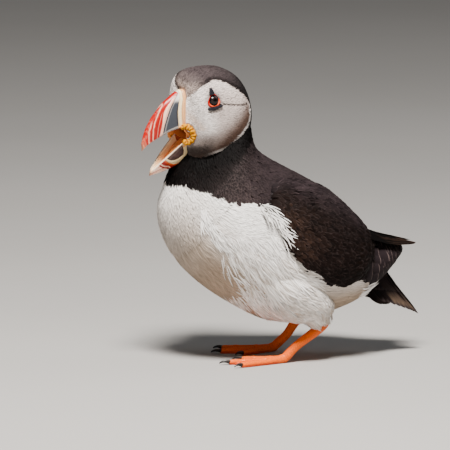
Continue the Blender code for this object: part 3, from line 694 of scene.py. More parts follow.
def head_paint(points):
    """The face: dark cap paler in front, pale cheek greyer below and at the rear (its own grey and painted
    shade), with a light rim, dark smudge.
    """
    local = to_head(points)
    side, forward, up = local[:, 0], -local[:, 1], local[:, 2]
    near = side > 0
    inside = outline_depth(face_map(forward, up, side), face_map(*CHEEK_LINE.T))
    inside = inside + ripple(local, 3, 3) * 0.22
    front = bump_step(forward, -22, -9) * bump_step(up, 10, 18)
    front = front * (1 - 0.85 * bump_step(up, 24, 28.5))
    cap = layered(
        CROWN, (FOREHEAD, front), (CROWN * 0.62, bump_step(-forward, 24, 40) * 0.8),
        (CROWN_EDGE, spot((inside + 0.5) / (1.7 - 0.5 * near)) * (0.9 - 0.6 * front * near)),
        (BLACK_COLLAR, bump_step(-forward - 0.6 * up, 22, 44)), (BLACK_COLLAR, bump_step(-up, 0, 6)))
    rear = bump_step(-forward, 33, 45) * bump_step(-up, -8, 4)
    below = bump_step(-up, -4, 8) * bump_step(-forward, 3, 12)
    from_eye = np.hypot(forward - EYE_AT_HEAD[0], up - EYE_AT_HEAD[1] + 0.3)
    cheek = layered(
        CHEEK * (0.7, 0.64, 0.62), (CHEEK, bump_step(forward, -20, -10) * bump_step(up, -8, 0)),
        # painted shade with the cheek's own grey: greyer below and to the rear
        (CHEEK_LOW, bump_step(-(up + 0.34 * (forward + 20)), 0, 15)), (CHEEK_LOW, rear * 0.45),
        (CHEEK * 0.8, 0.3 * bump_step(up, 12, 22)), (CHEEK, bump_step(-inside, -1.9, -0.7) * below * 0.8),
        (CHEEK_SMUDGE, spot((forward + 2.5) / 7.5, (up + 14.6) / 4.6, power=4) * 0.85),
        (CHEEK_SMUDGE, spot((forward + 8) / 5, (up + 8) / 4.5) * 0.55),
        (LORES, spot((forward + 7 - 0.25 * up) / 1.6) * (up > -1) * 0.45),
        (CHEEK_SMUDGE, spot(crease_distance(forward, up) / 0.62) * 0.95),
        (CHEEK_SMUDGE, spot(from_eye / 5.2, power=4) * 0.8))
    # painted shade: the skin seen through the open mouth, brown
    gullet = (np.abs(side) < 5.2) & (forward > -3.5) & (up > -11) & (up < 1)
    return np.where(gullet[:, None], MOUTH_BROWN_IN_SHADE, mixed(cap, cheek, bump_step(inside, -0.25, 0.35)))


def trunk_paint(station, angle, points, ragged=0):
    """Black collar and mantle, blacker towards the rump, white below except above the tail."""
    degrees = np.degrees(np.abs(angle))
    # painted shade: the collar darkened to a quarter at the top of the neck, under the head
    dark = layered(
        BLACK_MANTLE, (BLACK_COLLAR, bump_step(station, 9.6, 11.2)),
        (BLACK_COLLAR * 0.25, bump_step(station, 12.2, 13.6)), (BLACK_WING, bump_step(-station, -6.5, -3.5)))
    dark = dark * (1 + 0.22 * ripple(points, 14, 5))[:, None]
    # painted shade: the white darkens and warms on the underside from the breast back, and more at the vent
    white = layered(
        WHITE, (WHITE_PAINTED_SHADE, bump_step(degrees, 88, 138) * bump_step(-station, -13.5, -9)),
        (WHITE_PAINTED_SHADE, 0.6 * bump_step(-station, -4.6, -3.2)))
    out = np.clip(np.abs(points[..., 0]) / TAIL_ROOT_HALF, 0, 1.3)
    over_tail = (points - TAIL_ROOT) @ TAIL_OVER + TAIL_ROOF[0] * out**1.18
    edge = bump_step(white_side(station, angle) + ragged, -1, 1)
    return mixed(dark, white, edge * (1 - bump_step(over_tail, -5.5, -4)))


# ---- skin -------------------------------------------------------------------------------------
def surface_tube(surface, last, counts, depth, centre, start, end):
    """A body surface drawn in by the depth of its coat, as a closed tube."""
    a, b = crossed(np.linspace(0, last, counts[0]), ring(counts[1]))
    return closed_tube(surface(a, b) - normals(surface, a, b, centre) * depth, start, end)


def wing_shell(side):
    """The wing as a slab between its coat's underside and the trunk."""
    place, share = crossed(np.linspace(0.15, len(WING) - 1.15, 60), np.linspace(0.03, 0.97, 40))
    outer, inner = (wing_surface(place, share, side, swell) for swell in (0.72, -0.9))
    return closed_tube(np.concatenate([outer, inner[:, ::-1]], axis=1))


def thigh_surface(side):
    """The thigh as a rod, on either side."""
    def surface(place, angle):
        return rod_surface(np.array(THIGH) * (side, 1, 1, 1), place, angle)
    return surface


BODY_CENTRE, HEAD_CENTRE = np.array([0, -5, 75]), from_head([0, 26, -1])


def body_parts(drawn_in, trunk, head, thigh):
    """The body's parts as closed shapes, coat and all or drawn in by its depth, with counts of points."""
    pole = from_head((0, -HEAD_POLE[0] - drawn_in, HEAD_POLE[1]))
    depth = {part: deep * drawn_in for part, deep in DEPTH.items()}
    shapes = {
        "trunk": surface_tube(trunk_surface, len(TRUNK) - 1, trunk, depth["trunk"], BODY_CENTRE, RUMP_POLE,
                              NECK_POLE),
        "head": surface_tube(head_surface, len(HEAD) - 1, head, depth["head"], HEAD_CENTRE, None, pole),
    }
    for side, tag in TAGS.items():
        shapes[f"wing_{tag}"] = wing_shell(side)
        shapes[f"thigh_{tag}"] = surface_tube(
            thigh_surface(side), 3, thigh, depth["thigh"], THIGH_CENTRE * (side, 1, 1), None,
            np.array(THIGH_POLE) * (side, 1, 1))
    return shapes


def make_skin():
    """One skin wrapped round trunk, neck, head, wings and thighs, hollowed at the mouth."""
    shapes = body_parts(True, (120, 96), (90, 90), (40, 48))
    mesh = wrapped("puffin_skin", *joined(shapes.values()), 1, 4)
    points = mesh_points(mesh)
    local = to_head(points)
    hollow = MOUTH_RADII * 1.06
    out = (local - MOUTH_AT) / hollow
    inside = (out**2).sum(1) < 1
    deep = MOUTH_AT[1] + hollow[1] * np.sqrt(np.clip(1 - out[:, 0] ** 2 - out[:, 2] ** 2, 0, 1))
    local[inside, 1] = np.maximum(local[inside, 1], deep[inside])
    groove = spot(crease_distance(-local[:, 1], local[:, 2]) / 0.7) * (np.abs(local[:, 0]) > 12)
    local[:, 0] -= np.sign(local[:, 0]) * groove * 0.5
    points = np.where((inside | (groove > 0.01))[:, None], from_head(local), points)
    put_points(mesh, points)
    paint = skin_paint(points)
    # painted shade: the hollow behind the gape, brown
    paint[inside] = MOUTH_BROWN_IN_SHADE
    put_paint(mesh, paint)
    mesh.shade_smooth()
    nodes = ["trunk", "neck", "head", "wing_left", "wing_right", "thigh_left", "thigh_right"]
    add_piece("puffin_skin", mesh, PALE_PLUMAGE, "white_feather", nodes)


def trunk_places(points):
    """The station and angle of the trunk's surface nearest to each point."""
    station, angle = crossed(np.linspace(0, 16, 129), np.linspace(-np.pi, np.pi, 121))
    grid = trunk_surface(station, angle).reshape(-1, 3)
    tree = KDTree(len(grid))
    for index, point in enumerate(grid):
        tree.insert(point, index)
    tree.balance()
    nearest = np.array([tree.find(point)[1] for point in points])
    return station.ravel()[nearest], angle.ravel()[nearest]


def skin_paint(points):
    """The coat's markings at any point of the skin, darkened a little as painted shade between the feathers.
    """
    station, angle = trunk_places(points)
    body = trunk_paint(station, angle, points) * 0.8
    ratio = np.linalg.norm((to_head(points) - (0, 26, -1.5)) / (24, 30, 34), axis=1)
    return np.where((ratio < 1)[:, None], head_paint(points) * 0.85, body)


# ---- feathers ---------------------------------------------------------------------------------
def so_far(steps):
    """The distance travelled at the start and after each step."""
    return np.concatenate([[0], np.cumsum(steps)])


def scatter(surface, a_range, b_range, spacing, seed):
    """Places in staggered rows over a surface, about one spacing apart, thinned where rows run close."""
    rng = np.random.default_rng(seed)
    probes, fine = np.linspace(*b_range, 41), np.linspace(*a_range, 200)
    strides = np.linalg.norm(np.diff(surface(*crossed(fine, probes)), axis=0), axis=-1)
    widest = so_far(strides.max(axis=1))
    rows = np.interp(np.arange(0, widest[-1], spacing * 0.866), widest, fine)
    found = []
    for index, row in enumerate(rows):
        line = surface(np.full(len(probes), row), probes)
        travelled = so_far(np.linalg.norm(np.diff(line, axis=0), axis=-1))
        marks = np.arange(spacing * (0.25 + 0.5 * (index % 2)), travelled[-1], spacing)
        b = np.interp(marks + rng.uniform(-0.3, 0.3, len(marks)) * spacing, travelled, probes)
        a = np.full(len(b), row) + rng.uniform(-0.3, 0.3, len(b)) * np.gradient(rows)[index]
        nearest = np.clip(np.searchsorted(fine, row), 0, len(strides) - 1)
        crowding = np.interp(b, probes, strides[nearest]) / strides[nearest].max()
        kept = rng.random(len(b)) < crowding * 1.05
        found.append(np.column_stack([a[kept], b[kept]]))
    return np.concatenate(found).T


def heading_steps(surface, a, b, heading, length):
    """How far both parameters change over a length laid at an angle from the first one's direction."""
    ahead = np.linalg.norm(surface(a + NUDGE, b) - surface(a - NUDGE, b), axis=-1) / (2 * NUDGE)
    around = np.linalg.norm(surface(a, b + NUDGE) - surface(a, b - NUDGE), axis=-1) / (2 * NUDGE)
    return length * np.cos(heading) / ahead, length * np.sin(heading) / np.maximum(around, 1)


def blade_faces(rings, cross):
    """One blade's quads and triangles: a tube closed at its root, with a point at its tip."""
    root = np.array([(0, j + 1, j) for j in range(1, cross - 1)])
    return tube_faces(rings, cross), np.concatenate([fan((rings - 1) * cross, cross, rings * cross), root])


def further(surface, a, b, heading, length, share=0.65):
    """The places that feathers laid from a, b reach at a share of their length."""
    da, db = heading_steps(surface, a, b, heading, length)
    return a + share * da, b + share * db


LOCK = ((0, 0.6), (0.36, 1), (0.76, 0.72))                # share of the length, share of the width
PLUME = ((0, 0.6), (0.22, 0.9), (0.45, 1), (0.67, 0.85), (0.86, 0.55))
VANE = ((0, 0.5), (0.3, 0.95), (0.6, 1), (0.84, 0.8), (0.96, 0.42))
QUILL = ((0, 0.5), (0.2, 0.85), (0.4, 0.97), (0.6, 1), (0.75, 0.95), (0.86, 0.78), (0.94, 0.5), (0.985, 0.2))


class Coat:
    """Feathers gathered for one piece: each is a thin closed blade that walks over its surface."""

    def __init__(self, seed):
        self.rng = np.random.default_rng(seed)
        self.points, self.quads, self.triangles = [], [], []
        self.paint, self.patches, self.facing = [], [], []
        self.count = 0

    def lay(self, surface, a, b, heading, length, width, colour, depth=0.8, lift=0.2, outline=LOCK, cross=3,
            arch=0.22, bend=0, centre=BODY_CENTRE, steps=None, floor=0, bow=0, stray=0.12, over=None,
            **look):
        """Lays one feather at each place (a, b).

        The blade follows the surface from its root, under the coat by the depth, to its tip, above it by
        the lift. Its half width follows the outline, and its section is an arch on a flat underside."""
        count, rings, rng = len(a), len(outline), self.rng
        if count == 0:
            return
        length, width, lift = (np.broadcast_to(np.asarray(v, float), count) for v in (length, width, lift))
        length, width = (v * rng.uniform(0.85, 1.15, count) for v in (length, width))
        da, db = heading_steps(surface, a, b, heading, length) if steps is None else steps
        shares, widths = np.array([*outline, (1, 0)]).T[:, None]
        path_a = a[:, None] + da[:, None] * shares
        path_b = b[:, None] + db[:, None] * shares + np.asarray(bend * db)[:, None] * shares**2
        path, up = surface(path_a, path_b), normals(surface, path_a, path_b, centre)
        under = depth * (-0.9 * (1 - shares) ** 2) + rng.uniform(-stray, stray, count)[:, None] * depth
        rise = under + lift[:, None] * shares + bow * np.sin(np.pi * shares) + floor
        middle = path + up * rise[..., None]
        along = np.gradient(middle, axis=1)
        if over is not None:
            middle, up = climbed(over, middle, up, 0.3 + (lift[:, None] * shares))
        across = unit(np.cross(along, up), 1e-12)[:, :-1, None]
        span = np.linspace(-1, 1, cross)
        half = (width[:, None] / 2 * widths)[:, :-1, None]
        ring_up = up[:, :-1, None]
        points = middle[:, :-1, None] + across * (half * span)[..., None]
        points = points + ring_up * (half * arch * 2 * (1 - span**2))[..., None]
        facing = ring_up + across * (span * RELIEF)[:, None] + rng.normal(0, stray * 0.8, (count, 1, 1, 3))
        self.points.append(with_tips(points, middle))
        self.facing.append(unit(with_tips(facing, up)))
        where = np.concatenate([np.repeat(shares[0, :-1], cross), [1]])
        edge = np.concatenate([np.tile(np.abs(span), rings), [1]])
        self.paint.append(self.coloured(colour, count, where, edge, **look).reshape(-1, 3))
        offset = self.count + len(where) * np.arange(count)[:, None, None]
        quads, triangles = blade_faces(rings, cross)
        self.quads.append((quads[None] + offset).reshape(-1, 4))
        self.triangles.append((triangles[None] + offset).reshape(-1, 3))
        patch = np.column_stack([np.concatenate([np.tile(span / 2, rings), [0]]), where - 0.5])
        self.patches.append((np.column_stack([a, b])[:, None], patch[None]))
        self.count += count * len(where)

    def coloured(self, colour, count, where, edge, tone=0.1, root_shade=0.75, tip=None, tip_share=0,
                 tip_from=0.55, fringe=None, fringe_sides=True):
        """Colours from root to tip: darker at the root as painted shade where feathers overlap, with a tint
        at the tip and a fringe where given.
        """
        colour = np.broadcast_to(colour, (count, 3)) * self.rng.uniform(1 - tone, 1 + tone, (count, 1))
        paint = colour[:, None] * (root_shade + (1 - root_shade) * np.sqrt(where))[None, :, None]
        if tip is not None:
            paint = mixed(paint, tip, tip_share * np.clip((where - tip_from) / (0.95 - tip_from), 0, 1))
        if fringe is not None:
            sides = fringe_sides * np.maximum((edge - 0.75) / 0.2, 0) * (where > 0.45)
            paint = mixed(paint, fringe, sides + (where > 0.93))
        return paint

    def finish(self, name, finish, slot, replaced=()):
        """The piece, its OFBake map a small patch for each feather at its root's place on the surface."""
        roots = np.concatenate([root[:, 0] for root, _ in self.patches])
        low, high = roots.min(0), roots.max(0)
        spread = high - low > 1e-6
        row = np.linspace(0, 1, len(roots))[:, None]
        done, uv = 0, []
        for root, patch in self.patches:
            own = row[done:done + len(root), None]
            share = np.where(spread, (root - low) / np.where(spread, high - low, 1), own)
            uv.append(np.clip(0.01 + 0.98 * share + 0.003 * patch, 0, 1).reshape(-1, 2))
            done += len(root)
        points, quads, triangles, uv, paint, facing = (
            np.concatenate(v) for v in (self.points, self.quads, self.triangles, uv, self.paint,
                                        self.facing))
        mesh = new_mesh(name, points, [quads, triangles], uv, paint, "OFBake", facing)
        add_piece(name, mesh, finish, slot, replaced)


def with_tips(rings, tips):
    """Each blade's rings of points, or of directions, followed by the one at its tip, as one long row."""
    count = len(rings)
    return np.concatenate([rings.reshape(count, -1, 3), tips[:, -1:]], axis=1).reshape(-1, 3)


def solid_tree(points, faces):
    """A search tree over a closed shape, to tell which places lie inside it."""
    polygons = [tuple(f) for part in faces for f in part.tolist()]
    return BVHTree.FromPolygons([Vector(p) for p in points], polygons)


def inside_of(tree, points, margin=0):
    """Which points lie inside a closed shape, deeper than the margin."""
    result = np.zeros(len(points), bool)
    for index, point in enumerate(points):
        place, normal, _, _ = tree.find_nearest(Vector(point))
        result[index] = (Vector(point) - place).dot(normal) < -margin
    return result


def climbed(tree, points, up, rise):
    """Paths moved straight out of a closed shape to their rise above it, and the directions out of it."""
    flat, raised = points.reshape(-1, 3).copy(), up.reshape(-1, 3).copy()
    for index, (point, out, height) in enumerate(zip(flat.copy(), raised.copy(), rise.reshape(-1))):
        place, normal, _, _ = tree.ray_cast(Vector(point), Vector(out))
        if place is not None and normal.dot(Vector(out)) > 0.05:
            flat[index], raised[index] = place + normal * height, normal
    flat, raised = flat.reshape(points.shape), raised.reshape(up.shape)
    step, before = (np.linalg.norm(np.diff(v, axis=1), axis=-1) for v in (flat, points))
    smooth = (step / before).max(1) < 1.8
    smooth &= (raised[:, 1:] * raised[:, :-1]).sum(-1).min(1) > 0.75
    smooth = smooth[:, None, None]
    return np.where(smooth, flat, points), np.where(smooth, raised, up)


def body_trees():
    """The outsides of the body's parts, coat and all."""
    shapes = body_parts(False, (80, 60), (60, 60), (30, 30))
    return {name: solid_tree(*shape) for name, shape in shapes.items()}


def keep_places(mask, *arrays):
    """The same rows of several arrays."""
    return tuple(v[mask] for v in arrays)


def eye_place(side):
    """The eye's centre on the face and its axes (back, up, out), read off the solid ball and lid."""
    low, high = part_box(f"eye_{TAGS[side]}")
    ball = (np.array(low) + np.array(high)) / 2 / MM - (0, STANDING_Y, 0)
    lid = mesh_points(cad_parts[f"eyelid_{TAGS[side]}"].data)
    out = np.linalg.svd(lid - lid.mean(0), full_matrices=False)[2][2]
    out = out * np.sign((HEAD_TURN.T @ out)[0]) * side
    local = HEAD_TURN.T @ out
    across = unit(np.cross((0, 0, 1), local))
    turn = np.column_stack([HEAD_TURN @ across, HEAD_TURN @ np.cross(local, across), out])
    return ball + out * (EYE_RADIUS - EYE_PROUD), turn


def bill_side(row):
    """Rows of a bill's table as the nearer and further points of its side, and the half width."""
    return row[..., 0:2], row[..., 2:4], row[..., 4]


EYES = {side: eye_place(side) for side in TAGS}


def lid_reach(turn):
    """The lid's outer edge: a blunt triangle."""
    outside = LID_OUTSIDE + LID_CORNER * np.cos(3 * (turn - math.radians(LID_TURN)))
    return outside + LID_DROP[0] * np.cos(turn) + LID_DROP[1] * np.sin(turn)


def near_eye(points):
    """How far outside an eye's lid and plates each point lies, in mm."""
    gap = np.full(len(points), 99)
    for side, (centre, turn) in EYES.items():
        local = (points - centre) @ turn
        back, up = local[:, 0] * side, local[:, 1]
        reach = np.hypot(back, up) - lid_reach(np.arctan2(up, back))
        for _, outline, _ in EYE_PLATES:
            middle = np.mean(outline, axis=0)
            size = np.ptp(outline, axis=0) / 2
            share = np.hypot((back - middle[0]) / size[0], (up - middle[1]) / size[1])
            reach = np.minimum(reach, (share - 1) * 1.5)
        gap = np.where(np.abs(local[:, 2]) < 8, np.minimum(gap, reach), gap)
    return gap


def head_coat(trees):
    """Short, dense face feathers that run back from the bill; longest at the nape and throat."""
    a, b = scatter(head_surface, (0.04, 7.97), (0, 2 * np.pi), 0.66, 11)
    root = head_surface(a, b)
    local = to_head(root)
    mouth = (((local - MOUTH_AT) / (MOUTH_RADII * 1.02)) ** 2).sum(1) < 1
    line = smooth_row(ROSETTE, np.linspace(0, len(ROSETTE) - 1, 40))
    roll = np.column_stack([line[:, 2], -line[:, 0], line[:, 1]])
    rolls = np.concatenate([roll * (side, 1, 1) for side in TAGS])
    distance = np.linalg.norm(local[:, None] - rolls[None], axis=-1).min(1)
    eye_gap = near_eye(root)
    buried = inside_of(trees["trunk"], root, 2)
    good = ~mouth & (distance > 2.2) & (eye_gap > 0.1) & ~buried
    a, b, root, local, eye_gap = keep_places(good, a, b, root, local, eye_gap)
    forward, up, rng = -local[:, 1], local[:, 2], np.random.default_rng(12)
    length = 1.5 + 1.3 * bump_step(-forward, 4, 24) + 0.8 * bump_step(-forward, 30, 46)
    length = (length + 0.8 * bump_step(-up, 10, 24)) * np.clip(0.45 + eye_gap / 6, 0.45, 1)
    crease = crease_distance(forward, up)
    heading = rng.normal(0, 0.16, len(a)) + 0.18 * np.sin(b) * bump_step(-forward, 0, 20)
    reached = head_surface(*further(head_surface, a, b, heading, length))
    colour = head_paint(reached + rng.normal(0, 0.16, root.shape))
    width = 0.6 + 0.03 * length
    above, left = np.cos(b) > 0.42, np.sin(b) > 0
    sides = (("crown", above), ("cheek_left", ~above & left), ("cheek_right", ~above & ~left))
    for index, (name, part) in enumerate(sides):
        coat = Coat(30 + index)
        picks = np.flatnonzero(part)
        shallow = crease[picks] >= 0.7
        for chosen, deep in ((picks[shallow], 0.7), (picks[~shallow], 1.3)):
            places = keep_places(chosen, a, b, heading, length, width, colour)
            coat.lay(head_surface, *places, depth=deep, lift=0.1 + 0.14 * rng.random(len(chosen)),
                     centre=HEAD_CENTRE, tone=0.3 if name == "crown" else 0.17, root_shade=0.68)
        coat.finish(f"feathers_{name}", HEAD_PLUMAGE, "grey_feather")


def trunk_coat(trees):
    """The body's feathers: black collar and mantle in small vanes, silky white breast and belly."""
    rng = np.random.default_rng(22)

    def roots(spacing, seed, span=(0.25, 15.4)):
        a, b = scatter(trunk_surface, span, (-np.pi, np.pi), spacing, seed)
        root = trunk_surface(a, b)
        hidden = inside_of(trees["head"], root, 1.5)
        raised = root + normals(trunk_surface, a, b, BODY_CENTRE) * 0.8
        for tag in TAGS.values():
            hidden |= inside_of(trees[f"wing_{tag}"], raised)
            hidden |= inside_of(trees[f"thigh_{tag}"], root, 1.5)
        return keep_places(~hidden, a, b, root)
    a, b, root = roots(1.12, 21)
    swirl = 0.22 * np.sin(b) * bump_step(a, 5.5, 9)
    heading = np.pi + rng.normal(0, 0.1, len(a)) + swirl + 0.16 * ripple(root, 16, 9)
    length = np.where(a > 10.4, 5, 11) * np.clip(a / 1.6, 0.25, 1)
    reach_a, reach_b = further(trunk_surface, a, b, heading, length)
    ragged = rng.normal(0, 0.7, len(a)) + 0.8 * ripple(root, 8, 8)
    white = white_side(reach_a, reach_b) + ragged > 0
    colour = trunk_paint(reach_a, reach_b, root, ragged)
    front, left = a > 8.2, b > 0
    sets = {"breast_left": front & left, "breast_right": front & ~left,
            "belly_left": ~front & left, "belly_right": ~front & ~left}
    for index, (name, place) in enumerate(sets.items()):
        coat, part = Coat(40 + index), white & place
        coat.lay(trunk_surface, a[part], b[part], heading[part], length[part], 0.95, colour[part], depth=1,
                 lift=0.05 + 0.25 * rng.random(part.sum()), tone=0.11, root_shade=0.8, bend=0.08, arch=0.06,
                 stray=0.09)
        coat.finish(f"feathers_{name}", PALE_PLUMAGE, "white_feather")

    coat = Coat(46)
    part = ~white & (a > 10.2)
    # painted shadow of the head on the collar feathers just below it
    gap = np.array([trees["head"].find_nearest(Vector(point))[3] for point in root[part]])
    colour[part] *= (1 - 0.85 * spot(gap / 9) * (root[part][:, 1] > -66))[:, None]
    pale = 0.04 + 0.34 * bump_step(-a[part], -12.6, -10.8) * bump_step(gap, 5, 14)
    coat.lay(trunk_surface, a[part], b[part], heading[part], 4.6, 1.05, colour[part], depth=1.1,
             lift=0.1 + 0.3 * rng.random(part.sum()), tip=PALE_FRINGE, tip_share=pale[:, None], tone=0.35,
             root_shade=0.6)
    coat.finish("feathers_collar", DARK_PLUMAGE, "black_feather")
    coat = Coat(47)
    a, b, root = roots(1.75, 24, (0.25, 11.4))
    heading = np.pi + rng.normal(0, 0.1, len(a)) + 0.22 * ripple(root, 16, 9)
    length = (3.9 + 1.4 * bump_step(-a, -9.5, -5)) * np.clip(a / 1.6, 0.25, 1)
    reach_a, reach_b = further(trunk_surface, a, b, heading, length, 0.9)
    dark = white_side(reach_a, reach_b) + rng.normal(0, 1.2, len(a)) < 0.5
    a, b, root, heading, length = keep_places(dark, a, b, root, heading, length)
    degrees = np.degrees(np.abs(b))
    fringe = spot((a - 10.2) / 1.1, (degrees - 82) / 26) + 0.4
    fringe = mixed(BLACK_MANTLE, PALE_FRINGE, fringe * rng.uniform(0.3, 1, len(a)))[:, None]
    coat.lay(trunk_surface, a, b, heading, length, 2.7, trunk_paint(a, b, root, -90), depth=0.7,
             lift=0.2 + 0.2 * rng.random(len(a)), outline=VANE, cross=3, arch=0.14, fringe=fringe, tone=0.4,
             root_shade=0.7, stray=0.06)
    coat.finish("feathers_mantle", DARK_PLUMAGE, "black_feather")


def wing_coat(side, tag):
    """The folded wing: dark coverts in rows, worn brown at its bend, longer feathers at its rear edge."""
    def surface(place, share):
        return wing_surface(place, share, side)
    rng = np.random.default_rng(53 + side)
    centre = np.array([0, 10, 80])
    coat = Coat(55 + side)
    for spacing, broad in ((2.5, True), (1.5, False)):
        a, b = scatter(surface, (0.12, 6.6), (0.02, 0.98), spacing, 51 + side)
        root = surface(a, b)
        worn = spot((a - 1.7) / 1, (b - 0.8) / 0.24) * (0.85 + 0.5 * ripple(root, 7, 4))
        worn = np.clip(worn, 0, 1)
        if not broad:
            a, b, root, worn = keep_places(rng.random(len(a)) < 0.6 + worn, a, b, root, worn)
        rear = bump_step(a, 1, 5)
        colour = layered(BLACK_MANTLE, (BLACK_WING, bump_step(b, 0.1, 0.5) * 0.9),
                         (BROWN_WORN, worn * rng.uniform(0.35, 1, len(a))))
        colour = colour * (1 + 0.25 * ripple(root, 11, 6))[:, None]
        heading = rng.normal(0, 0.12 + 0.35 * worn) + 0.2 * ripple(root, 13, 7) - 0.12 * (b - 0.3)
        fringe = mixed(colour, PALE_FRINGE, rng.uniform(0, 0.22, len(a)))[:, None]
        lift = 0.2 + 0.4 * rng.random(len(a)) + 0.6 * worn * rng.random(len(a))
        if broad:
            coat.lay(surface, a, b, heading, 5.6 + 4 * rear, 3 + 0.8 * rear, colour, depth=0.8, lift=lift,
                     outline=VANE, cross=5, arch=0.13, centre=centre, fringe=fringe, tone=0.4,
                     root_shade=0.5)
        else:
            colour = colour * rng.uniform(0.6, 1.9, (len(a), 1))
            coat.lay(surface, a, b, heading, 5.5 + 2.5 * rear, 0.9, colour, depth=0.6, lift=lift + 0.25,
                     centre=centre,
                     tip=PALE_FRINGE, tip_share=rng.uniform(0, 0.5, (len(a), 1)), tone=0.3, root_shade=0.5)
    rows = np.concatenate([np.column_stack([np.full(n, at), np.linspace(0.1, 0.92, n) + 0.5 / n * (k % 2)])
                           for k, (at, n) in enumerate(((4.4, 12), (5.1, 11), (5.8, 10), (6.4, 8)))])
    a, b = rows.T
    coat.lay(surface, a, b, rng.normal(0, 0.06, len(a)), 13, 4.6, BLACK_WING * 1.1, depth=0.6, lift=0.6,
             outline=VANE, cross=5, arch=0.12, centre=centre, fringe=PALE_FRINGE * 0.35, tone=0.15,
             root_shade=0.6)
    coat.finish(f"feathers_wing_{tag}", DARK_PLUMAGE, "black_feather")


def thigh_coat(side, tag, trees):
    """Silky white feathering down and back over the thigh, and the flank's plumes that lap over it."""
    surface = thigh_surface(side)
    a, b = scatter(surface, (0.1, 2.95), (0, 2 * np.pi), 1.05, 61 + side)
    root = surface(a, b)
    hidden = inside_of(trees["trunk"], root, 1)
    a, b, root = keep_places(~hidden, a, b, root)
    rng = np.random.default_rng(63 + side)
    coat = Coat(65 + side)
    locks = ripple(root * (1, 1, 2), 5, 2)
    # painted shade: darker between the locks and lower on the thigh
    colour = mixed(WHITE, WHITE_PAINTED_SHADE, 0.25 + 0.35 * bump_step(a, 1.6, 3) + 0.35 * locks)
    heading = rng.normal(0, 0.12, len(a)) + 0.25 * ripple(root, 12, 3)
    coat.lay(surface, a, b, heading, 12 - 7 * bump_step(a, 1.6, 3), 0.9, colour, depth=1,
             lift=0.1 + 0.5 * rng.random(len(a)) ** 3 + 0.5 * (locks > 0.2),
             centre=THIGH_CENTRE * (side, 1, 1),
             tone=0.1, root_shade=0.75, bend=0.15, arch=0.1, stray=0.1)
    thigh = trees[f"thigh_{tag}"]
    a, b = scatter(trunk_surface, (3, 9.6), (0.6, 2.9), 1.5, 67 + side)
    b = b * side
    root = trunk_surface(a, b)
    near = inside_of(thigh, root, -9) & ~inside_of(thigh, root) & (root[:, 1] < THIGH[1][1] + 4)
    near &= ~inside_of(trees[f"wing_{tag}"], root, -1)
    a, b, root = keep_places(near, a, b, root)
    heading = np.pi - side * (0.3 + 0.25 * ripple(root, 14, 4)) + rng.normal(0, 0.12, len(a))
    # painted shade: the flank plumes a little darker than white, more or less at random
    coat.lay(trunk_surface, a, b, heading, rng.uniform(12, 20, len(a)), 0.95,
             mixed(WHITE, WHITE_PAINTED_SHADE, 0.2 + 0.3 * ripple(root, 6, 6)), depth=1,
             lift=0.3 + 1 * rng.random(len(a)) ** 2, bend=0.15, arch=0.16, tone=0.1, root_shade=0.8,
             over=thigh,
             outline=PLUME)
    coat.finish(f"feathers_thigh_{tag}", PALE_PLUMAGE, "white_feather")


def plumes():
    """Long white feathers: the ragged hem of the breast and those that lap over the bend of the wing."""
    rng = np.random.default_rng(71)
    coat = Coat(72)
    hem = np.array([(10.6, 122), (10.05, 121), (9.45, 121), (8.9, 118), (8.6, 112.5), (8.3, 108.5),
                    (7.83, 106), (7.58, 101), (7.4, 92)])
    for side in (1, -1):
        for back, count in ((2.4, 90), (1.4, 110), (0.4, 110)):
            at = rng.uniform(0, len(hem) - 1, count)
            line = smooth_row(hem, at)
            a = line[:, 0] + 0.35 + 0.16 * back + rng.normal(0, 0.06, count)
            b = np.radians(line[:, 1] - 4 - 3 * back + rng.normal(0, 1.4, count)) * side
            heading = np.pi + side * (-0.5 + 0.02 * (line[:, 1] - 100)) + rng.normal(0, 0.16, count)
            coat.lay(trunk_surface, a, b, heading, rng.uniform(7.5, 11.5, count), 0.75, WHITE, depth=1,
                     lift=rng.uniform(0.3, 1.1, count), bow=0.3, arch=0.08, tone=0.04, root_shade=0.92,
                     bend=0.15)
        count = 80
        a = 8.75 - 1.15 * rng.uniform(0, 1, count) + rng.normal(0, 0.08, count)
        edge = np.interp(a, WHITE_EDGE[:, 0], WHITE_EDGE[:, 1])
        b = np.radians(edge + rng.uniform(0.5, 9, count)) * side
        heading = np.pi - side * rng.uniform(-0.1, 0.75, count)
        coat.lay(trunk_surface, a, b, heading, rng.uniform(6, 11.5, count), 0.6, WHITE, depth=-0.6,
                 lift=rng.uniform(3.4, 5.2, count), bow=1.4, outline=PLUME, arch=0.1, tone=0.08,
                 root_shade=0.8, bend=0.5)
    coat.finish("feathers_plumes", PALE_PLUMAGE, "white_feather")


# a broad blunt feather with a rounded end
BLUNT = ((0, 0.3), (0.35, 0.85), (0.7, 1), (0.88, 0.93), (0.95, 0.72))


